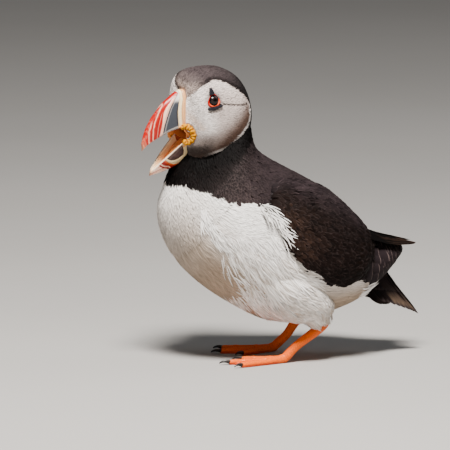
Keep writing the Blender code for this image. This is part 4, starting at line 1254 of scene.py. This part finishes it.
def rump_coat():
    """Broad rump feathers in rows, each with a thin pale fringe."""
    rng = np.random.default_rng(81)
    coat = Coat(82)
    for side in (1, -1):
        for k, station in enumerate((4.1, 3.6, 3.1, 2.65, 2.2, 1.8, 1.4, 1.05)):
            last, apart = 112 if station > 2.5 else 136, 18 if station > 1.5 else 30
            spread = np.arange(8 + 9 * (k % 2), last, apart)
            b = np.radians(spread + rng.normal(0, 1, len(spread))) * side
            a = np.full(len(b), station) + rng.normal(0, 0.03, len(b))
            size = 8.5 - 4.2 * bump_step(-station, -2.8, -1.2)
            coat.lay(trunk_surface, a, b, np.pi + rng.normal(0, 0.04, len(b)), size, size,
                     BLACK_MANTLE * 0.9,
                     depth=0.6, lift=0.35, outline=BLUNT, cross=7, arch=0.08, fringe=RUMP_FRINGE, tone=0.12,
                     root_shade=0.5, stray=0.03, fringe_sides=False)
        count = 50
        a, b = rng.uniform(3, 3.9, count), np.radians(rng.uniform(118, 146, count)) * side
        coat.lay(trunk_surface, a, b, np.pi + rng.normal(0, 0.2, count), rng.uniform(6, 9, count), 1, WHITE,
                 depth=0.4, lift=rng.uniform(0.3, 1.6, count), bow=0.4, tone=0.05, root_shade=0.95)
    coat.finish("feathers_rump", DARK_PLUMAGE, "black_feather")


def tail_feathers():
    """Sixteen tail feathers in a fan, the middle ones on top, browner towards their tips."""
    coat, count = Coat(91), 16
    stiff = {"depth": 0.2, "lift": 0, "outline": QUILL, "cross": 7, "arch": 0.05}
    centre = np.array([0, 40, 30])

    def fan_out(start, across, wide, colour, along, aside=0, **look):
        steps = np.full(len(across), along), np.full(len(across), aside)
        coat.lay(tail_surface, np.full(len(across), start), across, 0, 1, wide, colour, steps=steps,
                 centre=centre, **stiff, **look)
    share = np.linspace(-1, 1, count)
    order = 1 - np.abs(share)
    colour = mixed(BLACK_WING, BLACK_MANTLE, order)
    for layer, (floor, reach, wide) in enumerate(((0, 0.985, 5.6), (0.55, 0.62, 5.4), (0.95, 0.36, 5))):
        fan_out(0, share * (1 - 0.04 * layer), wide, colour, reach, tip=TAIL_BROWN, tip_from=0.62,
                tip_share=(order[:, None] > 0.3) * (0.1 if layer else 0.65), root_shade=0.85,
                floor=floor + 0.3 * order[:, None] - 0.3, fringe=PALE_FRINGE * 0.4)
    outer = np.array([-1.25, -1.15, -1.05, -0.95, 0.95, 1.05, 1.15, 1.25])
    fan_out(0.02, outer, 8, BLACK_WING, 1 + 0.45 * (np.abs(outer) - 1), -0.05 * outer, floor=-0.6, tone=0.2)
    fan_out(0, np.linspace(-0.85, 0.85, 11), 6, BLACK_WING, 0.8, floor=-0.9)
    coat.finish("feathers_tail", DARK_PLUMAGE, "black_feather", ["tail"])


def flight_feathers(side, tag):
    """The folded primaries: narrow stiff blades stacked so that each shows its edge."""
    coat = Coat(95 + side)

    def surface(place, across):
        return blade_surface(place, across, side)
    count = 8
    rank = np.arange(count)
    b = 0.8 - 0.2 * rank
    reach = 4.9 - 0.24 * rank
    # painted shade: the primaries' black darkened to a third
    coat.lay(surface, np.full(count, 0.1), b, 0, 1, 6.2 - 0.2 * rank, BLACK_WING * 0.3, depth=0.1, lift=0,
             outline=QUILL[:-1], cross=7, arch=0.07, steps=(reach, -b * 0.5), tone=0.12, root_shade=0.9,
             stray=0.02,
             floor=(0.22 * rank - 0.9)[:, None], fringe=BROWN_WORN * 0.7, centre=np.array([0, 50, 30]))
    coat.finish(f"feathers_primaries_{tag}", DARK_PLUMAGE, "black_feather", [f"primaries_{tag}"])


# ---- bill and mouth ---------------------------------------------------------------------------
# lines across the upper bill, as forward at each height, from the rear edge of the cere to the grooves
HEIGHTS = np.array([2, 5, 8.5, 12.5, 16, 18.2, 20.2, 22])
LINES = {
    "cream": np.array([-0.3, -0.8, -1.5, -2.9, -5, -6.6, -7.5, -8.6]),
    "front": np.array([3.2, 2.6, 1.85, 0.45, -1.6, -3.6, -4.9, -6.2]),
    "slate": np.array([15, 13.6, 11.5, 8.4, 4.9, 1.8, -1.4, -4.6]),
    "ridge": np.array([17.2, 15.4, 13.2, 10.9, 8.5, 5.5, 0.4, -5.5]),
    "groove_rear": np.array([18.4, 17.2, 15.6, 12.8, 9.5, 7, 3.5, 0]),
    "groove_middle": np.array([21.1, 20.3, 18.8, 16.2, 12.2, 9.2, 6, 3]),
    "groove_front": np.array([23.6, 22.7, 21.4, 18.2, 14.2, 11, 8, 5]),
}
# how far the cere's front edge lies in front of its station, by share of the bill's height
CERE_EDGE = np.array([(0, 0.8), (0.15, 1.2), (0.39, 1.8), (0.52, 1.7), (0.61, 1.3), (0.72, 0.4),
                      (0.8, -0.5), (0.94, -1.3), (1, -1.3)])


def line_gap(name, forward, up):
    """How far in front of a line across the bill each point lies."""
    return forward - np.interp(up, HEIGHTS, LINES[name])


def cere_front(arch):
    """The station of the cere's front edge at each place round the bill's arch."""
    high = np.sin(arch) ** 0.97
    shift = np.interp(high, *CERE_EDGE.T)
    return CERE_STATION + shift / np.where(shift > 0, 6.8 + 3.2 * high, 3.8 + 1.5 * high)


def upper_outside(at, arch):
    """The upper bill's outside: an arch from one cutting edge over the ridge to the other."""
    ridge, edge, width = bill_side(smooth_row(BILL_UPPER, at))
    side = edge + (ridge - edge) * (np.sin(arch) ** 0.97)[..., None]
    return in_head(width * np.cos(arch), side)


def upper_palate(at, arch):
    """The hollow palate between the cutting edges."""
    ridge, edge, width = bill_side(smooth_row(BILL_UPPER, at))
    rise = ridge - edge
    tall = np.linalg.norm(rise, axis=-1)
    side = edge + rise * (np.minimum(3.2, 0.35 * tall) / tall * np.sin(arch))[..., None]
    return in_head(np.maximum(width - 1.3, 0.4 * width) * np.cos(arch), side)


def lower_section(at, around):
    """A keeled trough: its outside from rim to rim, and its inside back."""
    rim, keel, width = bill_side(smooth_row(BILL_LOWER, at))
    drop = keel - rim
    outside, inside = there_and_back(around)
    inner = max(width - 1, 0.45 * width)
    across = np.concatenate([width * np.cos(outside), inner * np.cos(inside)])
    shallow = max(0.3, 1 - 3.4 / np.linalg.norm(drop)) * 0.75
    down = np.concatenate([np.sin(outside) ** 0.9, shallow * np.sin(inside)])
    return in_head(across, rim + drop * down[:, None])


def there_and_back(around):
    """Angles over an arch from one edge to the other, and half as many back below it."""
    return np.linspace(0, np.pi, around), np.linspace(np.pi, 0, around // 2)[1:-1]


ARCH, ARCH_BACK = there_and_back(72)
GROOVES = (                                     # strength, width, how high it reaches, paleness
    ("groove_front", 0.3, 0.42, 14.5, 0.8), ("groove_middle", 0.34, 0.3, 22, 0.95),
    ("groove_rear", 0.14, 0.2, 17.5, 0.5),
)


def upper_rings(start, end, palate_start, palate_end, count):
    """Stations of the upper bill, with its outside over the arch and the palate back below it."""
    reach = np.linspace(0, 1, count)[:, None]
    at = start + (end - start) * reach
    below = palate_start + (palate_end - palate_start) * reach + 0 * ARCH_BACK
    return at, upper_outside(at, ARCH + 0 * reach), upper_palate(below, ARCH_BACK + 0 * reach)


def off_edges(margin):
    """0 at the cutting edges, 1 over the rest of the arch."""
    return bump_step(ARCH, 0, margin) * bump_step(np.pi - ARCH, 0, margin)


def push_out(rings, amount):
    """Moves each point of a stack of rings away from its ring's middle by an amount in mm."""
    middle = rings.mean(axis=1, keepdims=True)
    away = rings - middle
    away /= np.linalg.norm(away, axis=-1, keepdims=True) + 1e-9
    return rings + away * amount[..., None]


def stripe(gap, width):
    """A soft line of 1 where the gap is 0."""
    return spot(gap / width)


def make_upper_bill():
    """The red and slate horn with its pale ridge and three grooves."""
    last = len(BILL_UPPER) - 1
    at, outside, inner = upper_rings(cere_front(ARCH) + 0.02, last, CERE_STATION, last, 150)
    forward, up = -outside[..., 1], outside[..., 2]
    gaps = {name: line_gap(name, forward, up) for name in LINES}
    front, plate, ridge, middle = (gaps[name] for name in ("front", "slate", "ridge", "groove_middle"))
    fades = {name: bump_step(-up, -high, -high + 3.5) for name, _, _, high, _ in GROOVES}
    shape = 0.34 * stripe((ridge + plate) / 2, 0.85) - 0.22 * stripe(plate + 0.5, 0.35)
    shape = shape - 0.12 * stripe(front - 0.5, 0.3)
    for name, strength, width, _, _ in GROOVES:
        shape = shape - strength * stripe(gaps[name], width) * fades[name]
        shape = shape + 0.12 * stripe(gaps[name] - 1.3, 0.7)
    outside = push_out(outside, shape * off_edges(0.12))
    wobble = 0.12 * ripple(outside, 3.5, 1)
    streaks = bump_step(ripple(outside * (0.8, 1, 0.22), 1.6, 6), 0.1, 0.9)
    lip = up - smooth_row(BILL_UPPER, at)[..., 3]
    on_slate = bump_step(-plate, -1, 0.2)
    red = layered(
        RED_HORN, (CORAL_HORN, 0.6 * bump_step(middle, -0.5, 6)),
        (PALE_HORN, 0.12 * streaks * bump_step(middle, -2, 1)))
    colour = layered(
        SLATE_HORN, (SLATE_PALE, bump_step(up - 0.35 * (forward + 3), 17, 20)),
        (SLATE_PALE * 0.8, stripe(plate + 1.6, 0.3) * 0.5), (SLATE_DARK, stripe(plate + 0.55, 0.4) * 0.8),
        (SLATE_DARK, stripe(front - 0.35, 0.4) * 0.8 * bump_step(-up, -18, -14)),
        (PALE_HORN, bump_step(plate + wobble, -0.25, 0.15)), (CORAL_HORN, stripe(plate - 1.1, 0.25) * 0.35),
        (red, bump_step(ridge + wobble, -0.25, 0.25)),
        *((PALE_HORN, stripe(gaps[name] + wobble, width) * fades[name] * pale)
          for name, _, width, _, pale in GROOVES),
        (linear(226, 150, 112), bump_step(forward, 24.5, 28) * (0.45 + 0.4 * streaks)),
        (SLATE_PALE, bump_step(-lip, -1.5, -1) * on_slate * 0.75),
        (linear(24, 18, 22), stripe(lip - 0.45, 0.4) * on_slate * 0.8),
        (PALE_HORN, bump_step(-lip, -0.5, -0.1) * (1 - on_slate) * 0.5))
    # painted shade: the palate browner towards the back
    palate = mixed(MOUTH_BROWN_IN_SHADE, MOUTH_ORANGE, 0.5 * bump_step(-inner[..., 1], 2, 18))
    tube_piece(
        "upper_bill_horn", from_head(np.concatenate([outside, inner], axis=1)),
        np.concatenate([colour, palate], axis=1), (SLATE_HORN, linear(206, 140, 104)), HORN, "red_horn",
        ["bill_upper"], end=from_head((0, -BILL_TIP[0], BILL_TIP[1])))


def make_cere():
    """The swollen cream rim round the bill's root, with a tan band of bare skin behind it."""
    _, outside, inner = upper_rings(0.1, cere_front(ARCH), 0.1, CERE_STATION, 60)
    forward, up = -outside[..., 1], outside[..., 2]
    front, cream = -line_gap("front", forward, up), line_gap("cream", forward, up)
    across = np.clip(cream / np.maximum(cream + front, 0.1), 0, 1)
    shape = 0.42 * np.sin(np.pi * across) ** 0.7 * (cream > 0) - 0.15 * stripe(cream, 0.25)
    shape = shape + 0.22 * stripe(cream + 0.9, 0.5) + 0.08 * ripple(outside, 1.5, 7)
    outside = push_out(outside, shape * off_edges(0.1))
    colour = layered(
        TAN_HORN, (CREAM_HORN, bump_step(cream, -0.2, 0.3)),
        # painted highlight: a pale line along the crest of the cream roll
        (linear(252, 234, 196), stripe(across - 0.45, 0.22) * (cream > 0) * 0.8),
        (linear(120, 74, 44), stripe(cream, 0.28) * 0.55),
        (TAN_HORN * 0.6, bump_step(-cream, 1.2, 2.4) * 0.5))
    palate = np.broadcast_to(MOUTH_BROWN_IN_SHADE, inner.shape)
    tube_piece(
        "cere_roll", from_head(np.concatenate([outside, inner], axis=1)),
        np.concatenate([colour, palate], axis=1),
        (TAN_HORN, SLATE_HORN), HORN, "pale_horn", ["cere"])


# outlines of the lower bill's parts from its base to its tip, as forward, up
LOWER_PLATE = np.array([(3.3, -8.6), (2.7, -13.1), (3.5, -16), (6.3, -17.2), (9.3, -17.4), (12.2, -16.5),
                        (14.6, -14.5),
                        (15.6, -12.7), (14, -11.6), (8.7, -9.4), (4.9, -7.8)])
LOWER_CREAM = np.array([(-9, -4), (-9, -18), (2.4, -18.2), (5.5, -20), (8.5, -20.7), (11.6, -19.3),
                        (14.3, -16.8),
                        (16.1, -14.4), (17.5, -10), (16, -2)])
LOWER_BAND = np.array([(-9, -4), (-9, -28), (12, -28), (13, -21.5), (14.5, -19.2), (16.6, -18.3),
                       (18.5, -16.4),
                       (19.7, -14.6), (21.5, -10), (18, -2)])


def make_lower_bill():
    """The lower bill: dark plate at its base, cream ridge, red band, pale streaked tip, orange inside."""
    around = 64
    stations = np.linspace(0, len(BILL_LOWER) - 1, 140)
    rings = np.array([lower_section(at, around) for at in stations])
    forward, up = -rings[..., 1], rings[..., 2]
    rim = smooth_row(BILL_LOWER, stations)[:, 1:2] - up
    flat = np.stack([forward, up], -1) + 0.1 * ripple(rings, 3, 2)[..., None]
    plate, cream, band = (outline_depth(flat, loop) for loop in (LOWER_PLATE, LOWER_CREAM, LOWER_BAND))
    shape = 0.35 * bump_step(cream, -0.2, 0.4) * bump_step(-plate, -0.2, 0.4)
    shape = shape - 0.25 * stripe(band + 0.35, 0.35) - 0.2 * stripe(band + 1.9, 0.3)
    weight = np.zeros(rings.shape[1])
    weight[:around] = np.sin(np.linspace(0, np.pi, around)) ** 0.2
    rings = push_out(rings, shape * weight)
    streaks = bump_step(ripple(rings * (1, 0.3, 1), 1.6, 9), 0.15, 0.8)
    slate = layered(
        SLATE_BROWN, (linear(96, 74, 70), 0.5 + 0.5 * ripple(rings, 4, 8)),
        (linear(26, 18, 20), stripe(plate - 0.3, 0.4) * 0.9))
    bands = ((-1.9, DARK_RED_HORN), (-0.75, PALE_HORN), (0, DARK_RED_HORN))
    outside = layered(
        linear(250, 206, 182), (linear(196, 80, 48), streaks * 0.75),
        *((paint, bump_step(band, depth - 0.2, depth + 0.15)) for depth, paint in bands),
        (linear(226, 96, 40), stripe(cream + 0.5, 0.6) * 0.8),
        (CREAM_HORN * 0.93, bump_step(cream, -0.2, 0.2)),
        (slate, bump_step(plate, -0.15, 0.2)),
        (linear(30, 18, 16), stripe(rim - 1.45, 0.25) * bump_step(-forward, -15, -13) * 0.8),
        (linear(255, 232, 206), bump_step(-rim, -0.95, -0.6)))
    # painted shade: the trough browner towards the back
    trough = layered(
        MOUTH_BROWN_IN_SHADE * 1.5, (MOUTH_ORANGE, bump_step(forward, -4, 6)),
        (linear(255, 222, 176), bump_step(-rim, -4.4, -3)))
    inside = np.arange(rings.shape[1]) >= around
    tube_piece(
        "lower_bill_horn", from_head(rings), np.where(inside[None, :, None], trough, outside),
        (MOUTH_BROWN_IN_SHADE, linear(214, 140, 104)), HORN, "red_horn", ["bill_lower"],
        end=from_head((0, -LOWER_TIP[0], LOWER_TIP[1])))


def folded(first, second):
    """Rows that run out along the first table and back along the second."""
    return np.concatenate([first, second[:, ::-1]], axis=1)


def make_lining():
    """The mouth's hollow: a folded bowl at the back of the gape, with painted shade: brown, near black at
    its throat.
    """
    turn, fall = crossed(ring(72), np.linspace(0.02, 1, 26))
    reach, depth = np.sin(fall * np.pi / 2), np.cos(fall * np.pi / 2)
    x, z = reach * np.cos(turn), reach * np.sin(turn)
    folds = 0.35 * np.sin(7 * turn + 1) * reach * (1 - reach)
    local = np.stack([x * MOUTH_RADII[0], depth * MOUTH_RADII[1] - folds, z * MOUTH_RADII[2]], -1) + MOUTH_AT
    colour = layered(
        MOUTH_DEPTH_SHADE, (MOUTH_BROWN_IN_SHADE, bump_step(np.hypot(x + 0.2, z - 0.35), 0.15, 0.75)),
        (MOUTH_ORANGE, bump_step(reach, 0.75, 1) * 0.6))
    tube_piece(
        "mouth_lining", from_head(folded(local, local + (0, 0.35, 0)).transpose(1, 0, 2)),
        folded(colour, colour).transpose(1, 0, 2), (MOUTH_DEPTH_SHADE, MOUTH_DEPTH_SHADE), MOUTH_SKIN, "mouth_skin")


def make_membrane(side, tag):
    """The folded skin between the bill's halves at the corner of the gape; the right one reaches further."""
    fall, reach = crossed(np.linspace(0, 1, 40), np.linspace(0, 1, 16))
    front = -1.2 + 4.4 * np.abs(2 * fall - 1) ** 2.2 if side > 0 else 4.2 + 0.5 * np.sin(6 * fall)
    forward = -5 + (front + 5) * reach + 0.25 * np.sin(fall * 22) * reach
    across = 6 + 1.6 * np.sin(np.pi * fall) * (1 - reach)
    across = across + 0.3 * np.sin(fall * 17 + 1) * np.sin(np.pi * reach)
    sheet = np.stack([across * side, -forward, 3.6 - 14.4 * fall], -1)
    # painted shade: browner towards the back of the gape
    colour = mixed(MOUTH_BROWN_IN_SHADE, MOUTH_ORANGE, bump_step(reach, 0.1, 0.8))
    tube_piece(
        f"gape_membrane_{tag}", from_head(folded(sheet, sheet + (0.7 * side, 0, 0))), folded(colour, colour),
        (MOUTH_ORANGE, MOUTH_ORANGE), MOUTH_SKIN, "mouth_skin")


def make_tongue():
    """A low tongue along the floor of the mouth, grooved down its middle."""
    line = np.array([(-3.5, -9.6, 3.2, 1.5), (3, -11.6, 3, 1.4), (9, -13.9, 2.1, 1.1),
                     (13.5, -15.6, 1.1, 0.7)])
    place, angle = crossed(np.linspace(0, 3, 50), ring(36))
    forward, up, width, height = np.moveaxis(smooth_row(line, place), -1, 0)
    groove = 0.25 * spot(np.cos(angle) / 0.25) * (np.sin(angle) > 0)
    rings = np.stack([width * np.cos(angle), -forward, up + height * np.sin(angle) - groove], -1)
    colour = mixed(MOUTH_ORANGE, linear(232, 150, 90), 0.5 + 0.5 * ripple(rings, 2.5, 5))
    tube_piece(
        "tongue_flesh", from_head(rings), colour, (MOUTH_BROWN_IN_SHADE, MOUTH_ORANGE), MOUTH_SKIN, "mouth_skin",
        ["tongue"],
        end=from_head((0, -15.6, -16.4)))


def make_rosette(side, tag):
    """The wrinkled yellow roll at the corner of the mouth: a bent rod with folds across it."""
    line = ROSETTE[:, [2, 0, 1, 3]] * (side, -1, 1, 1)
    place, angle = crossed(np.linspace(0, len(line) - 1, 150), ring(40))
    rings = rod_surface(line, place, angle, level=(1, 0, 0))
    folds = np.sin(place * 9.5 + 0.9 * np.sin(2 * angle) + 0.7 * np.sin(place * 3.1))
    folds = np.sign(folds) * np.abs(folds) ** 0.7
    second = np.sin(3 * angle + 2.2 * np.sin(place * 2.4))
    rings = push_out(rings, 0.17 * folds + 0.12 * second + 0.08 * ripple(rings, 1.5, 4))
    # the fold troughs orange: partly the skin's own orange, partly painted shade
    colour = layered(
        YELLOW_SKIN, (ORANGE_FOLD_SHADE, bump_step(-folds - 0.5 * second, 0.1, 1.2)), (YELLOW_SKIN, 0.25))
    tube_piece(
        f"gape_rosette_{tag}", from_head(rings), colour, (YELLOW_SKIN, YELLOW_SKIN), FOLDED_SKIN,
        "yellow_skin",
        [f"rosette_{tag}"])


# ---- eyes -----------------------------------------------------------------------------------
def from_eye(side, local):
    """Points in the bird's frame from the eye's own axes."""
    centre, turn = EYES[side]
    return np.asarray(local) @ turn.T + centre


def make_eyeball(side, tag):
    """The dark ball with its iris."""
    polar, around = crossed(np.linspace(0.03, np.pi - 0.03, 48), ring(64))
    x, y = np.sin(polar) * np.cos(around), np.sin(polar) * np.sin(around)
    ball = np.stack([x, y, np.cos(polar)], -1) * EYE_RADIUS * 1.05
    ball[..., 2] += EYE_PROUD - EYE_RADIUS
    radius = EYE_RADIUS * np.sin(np.minimum(polar, np.pi / 2))
    colour = layered(
        linear(3, 2, 3), (IRIS, bump_step(radius, 1, 1.2)), (linear(6, 5, 8), bump_step(radius, 2.1, 2.6)))
    tube_piece(
        f"eyeball_{tag}", from_eye(side, ball), colour, [linear(8, 6, 7)] * 2, WET_EYE, "eye_dark",
        [f"eye_{tag}"],
        start=from_eye(side, (0, 0, EYE_PROUD + 0.05 * EYE_RADIUS)),
        end=from_eye(side, (0, 0, EYE_PROUD - 2 * EYE_RADIUS)))


def make_lid(side, tag):
    """The red beaded lid: a closed ring round the ball."""
    spin, section = crossed(ring(150), ring(20))
    outside, inside = lid_reach(spin), LID_INSIDE - 0.05
    reach = (outside + inside) / 2 + (outside - inside) / 2 * np.cos(section)
    beads = 0.05 * np.sin(spin * 34) * (np.sin(section) > 0) + 0.04 * np.sin(spin * 13)
    height = (0.55 + beads) * np.sin(section)
    rings = np.stack([side * reach * np.cos(spin), reach * np.sin(spin), height], -1)
    # the lower inner rim lighter coral: partly the ring's own orange, partly a painted highlight
    coral_and_highlight = bump_step(-np.cos(section), -0.2, 0.5) * bump_step(-np.sin(spin), -0.2, 0.7)
    colour = layered(
        LID_RED, (linear(255, 116, 70), coral_and_highlight * 0.8),
        (linear(120, 16, 6), bump_step(np.cos(section), 0.55, 0.95)))
    points = from_eye(side, rings.reshape(-1, 3))
    faces = tube_faces(151, 20) % len(points)
    if side < 0:
        faces = faces[:, ::-1]
    if swept_volume(points, faces, EYES[side][0]) <= 0:
        faces = faces[:, ::-1]
    mesh = new_mesh(f"lid_ring_{tag}", points, [faces], paint=colour.reshape(-1, 3))
    add_piece(f"lid_ring_{tag}", mesh, FOLDED_SKIN, "eye_ring", [f"eyelid_{tag}"])


def make_eye_plates(side, tag):
    """The two horny plates above and below the lid."""
    for part, outline, swell in EYE_PLATES:
        corners = np.array(outline) * (side, 1)
        around = np.linspace(1, len(corners) + 1, 60, endpoint=False)
        loop = smooth_row(np.vstack([corners[-1:], corners, corners[:2]]), around)
        steps = ((-1.6, 0.96), (0.3, 1), (0.7, 0.99), (swell - 0.2, 0.92), (swell, 0.8),
                 (swell + 0.06, 0.45))
        shade = np.repeat([0.5, 0.6, 0.8, 1.1, 1, 0.9], len(loop))
        tube_piece(
            f"plate_{part}_{tag}", from_eye(side, stacked(loop, steps)), EYE_SLATE * shade[:, None],
            (EYE_SLATE * 0.5, EYE_SLATE * 0.9), EYE_HORN, "eye_horn", [f"eye_plate_{part}_{tag}"],
            end=from_eye(side, (*loop.mean(0), swell + 0.08)))


# ---- legs -------------------------------------------------------------------------------------
def rod(line, count=40):
    """One bone and its flesh as a closed rod."""
    return rod_tube(line, np.linspace(0, len(line) - 1, count), 28)


TOE_SHARES = (0, 0.3, 0.36, 0.42, 0.68, 0.75, 0.81, 0.93, 1, 1.03)     # thicker at each joint
TOE_SIZES = ((2.6, 2.4), (1.85, 2), (1.85, 2.15), (1.75, 1.95), (1.6, 1.8), (1.65, 1.95), (1.55, 1.75),
             (1.5, 1.75), (1.45, 1.6), (1.4, 1.2))


def make_leg(side, tag):
    """Shank, toes and web wrapped in one skin, flat below, with cross scales along the toes."""
    flip = np.array([side, 1, 1, 1])
    ball = np.array([FOOT_X, FOOT_Y - side * STEP])
    shapes = [
        rod(flip * [(22, 16, 27, 4.3), (*ANKLE, 4), (22.2, 10, 18.5, 3.15), (22.6, ball[1] + 7.5, 10.5, 2.8),
                    (ball[0], ball[1] + 1, 4.4, 2.9), (*ball, 3, 2.5)]),
        rod(flip * [(ball[0], ball[1] + 1.5, 3.2, 2.4), (*ball, 3.4, 2.7),
                    (ball[0], ball[1] - 4, 2.3, 2.4)]),
    ]
    ends = []
    for name, turn, length, claw in TOES:
        heading = np.array([math.sin(math.radians(turn)), -math.cos(math.radians(turn))])
        rows = [(*(ball + heading * length * share), *size) for share, size in zip(TOE_SHARES, TOE_SIZES)]
        shapes.append(rod(flip * rows, 80))
        ends.append(ball + heading * length)
        make_claw(f"claw_{name}_{tag}", ends[-1], heading, claw, flip)
    shapes.append(web_shape(ball, ends, side))
    mesh = wrapped(f"leg_skin_{tag}", *joined(shapes), 0.33, 3)
    points = mesh_points(mesh)
    distance = np.linalg.norm(points[:, :2] - ball * (side, 1), axis=1)
    scutes = 0.09 * np.abs(np.sin(distance * 2.1)) * bump_step(points[:, 2], 1.8, 2.6)
    scutes = scutes * bump_step(distance, 3, 6)
    points[:, 2] = np.where(points[:, 2] < 0.22, 0, points[:, 2] + scutes)
    put_points(mesh, points)
    web = bump_step(-points[:, 2], -1.95, -1.45) * bump_step(distance, 5, 9)
    put_paint(mesh, layered(
        FOOT_ORANGE, (WEB_ORANGE, web),
        (linear(176, 70, 30), 0.35 * web * (0.5 + 0.5 * ripple(points, 4, 3))),
        (linear(150, 72, 40), 0.35 * bump_step(points[:, 2], 16, 24))))
    mesh.shade_smooth()
    add_piece(f"leg_skin_{tag}", mesh, BARE_SKIN, "orange_skin", [f"shank_{tag}", f"foot_{tag}"])


def web_shape(ball, ends, side):
    """The web: a thin plate between the toes, its front edge drawn in."""
    heel = ball + (0, 1)
    edge = [heel]
    for a, b in zip(ends[:-1], ends[1:]):
        for share in np.linspace(0, 1, 19)[:-1]:
            pull = 0.16 * math.sin(math.pi * share)
            edge.append((a * (1 - share) + b * share) * (1 - pull) + heel * pull)
    edge = np.array([*edge, ends[-1]]) * (side, 1)
    steps = ((-0.5, 0.9), (-0.4, 1), (0.9, 1), (1.25, 0.985), (1.35, 0.9), (1.2, 0.5))
    middle = edge.mean(0)
    return closed_tube(stacked(edge, steps), start=(*middle, -0.5), end=(*middle, 1.15))


def make_claw(name, start, heading, length, flip):
    """A short curved claw, its ridge worn paler."""
    rows = []
    for share in np.linspace(0, 0.93, 8):
        at = start + heading * (0.4 + length * share)
        rows.append((*at, 1.7 + 0.9 * math.sin(2.4 * share) - 1.2 * share**2, 1.35 * (1 - 0.75 * share)))
    tip = flip[:3] * (*(start + heading * (0.3 + length)), 0.75)
    points, faces = rod_tube(flip * rows, np.linspace(0, 7, 40), 24, end=tip)
    colour = mixed(linear(30, 27, 26), linear(96, 84, 76), bump_step(points[:, 2], 2.4, 3.2) * 0.5)
    mesh = new_mesh(f"horn_{name}", points, faces, paint=colour)
    add_piece(f"horn_{name}", mesh, CLAW_HORN, "claw", [name])


# ---- stage ------------------------------------------------------------------------------------
def view_axes(azimuth, elevation):
    """The right, the upward and the backward direction of something that looks at the bird from there."""
    a, e = math.radians(azimuth), math.radians(elevation)
    right = np.array([math.cos(a), math.sin(a), 0])
    above = np.array([-math.sin(a) * math.sin(e), math.cos(a) * math.sin(e), math.cos(e)])
    return right, above, np.array([math.sin(a) * math.cos(e), -math.cos(a) * math.cos(e), math.sin(e)])


def aimed(name, data, location, back):
    """An object that looks away from a direction."""
    obj = linked(name, data)
    obj.location = location
    obj.rotation_mode = "QUATERNION"
    obj.rotation_quaternion = Vector(-back).to_track_quat("-Z", "Y")
    return obj


def area_light(name, azimuth, elevation, distance, size, power, colour):
    """A square soft light aimed at the bird's middle."""
    light = bpy.data.lights.new(name, "AREA")
    light.size, light.energy, light.color = size, power, colour
    back = view_axes(azimuth, elevation)[2]
    aimed(name, light, Vector((0, 0, 0.09)) + Vector(back) * distance, back)


def make_stage():
    """A pale floor disc, the soft lights and the camera."""
    rings = np.array([[(r * math.cos(t), r * math.sin(t), 0) for t in ring(64)]
                      for r in (200, 1000, 4000, 14000)])
    points = np.concatenate([rings.reshape(-1, 3), [(0, 0, 0)]])
    floor = linked("floor", new_mesh("floor", points, [tube_faces(4, 64)[:, ::-1], fan(0, 64, 256)]))
    floor.data.materials.append(floor_finish())
    area_light("key", 74, 60, 1.5, 0.36, 78, (1, 0.955, 0.9))
    area_light("rear", 190, 45, 1.6, 0.9, 5, (0.93, 0.96, 1))
    area_light("low", 66, 4, 1.6, 0.8, 2.2, (1, 0.84, 0.66))
    world = bpy.data.worlds.new("studio")
    world.use_nodes = True
    background = world.node_tree.nodes["Background"].inputs
    background["Color"].default_value, background["Strength"].default_value = (0.86, 0.89, 0.93, 1), 0.08
    bpy.context.scene.world = world

    right, above, back = view_axes(75, 8)
    distance, field = 4000, 279
    place = right * -40.3 + above * 81.84 + back * (distance + 20) + (0, STANDING_Y, 0)
    camera = bpy.data.cameras.new("camera")
    camera.sensor_width, camera.lens = 36, 36 * distance / field
    camera.clip_start, camera.clip_end = 0.05, 60
    bpy.context.scene.camera = aimed("camera", camera, Vector(place) * MM, back)


make_stage()
make_skin()
trees = body_trees()
head_coat(trees)
trunk_coat(trees)
for side, tag in TAGS.items():
    wing_coat(side, tag)
    thigh_coat(side, tag, trees)
    flight_feathers(side, tag)
    make_rosette(side, tag)
    make_eyeball(side, tag)
    make_lid(side, tag)
    make_eye_plates(side, tag)
    make_leg(side, tag)
plumes()
rump_coat()
tail_feathers()
make_upper_bill()
make_cere()
make_lower_bill()
make_lining()
for side, tag in TAGS.items():
    make_membrane(side, tag)
make_tongue()
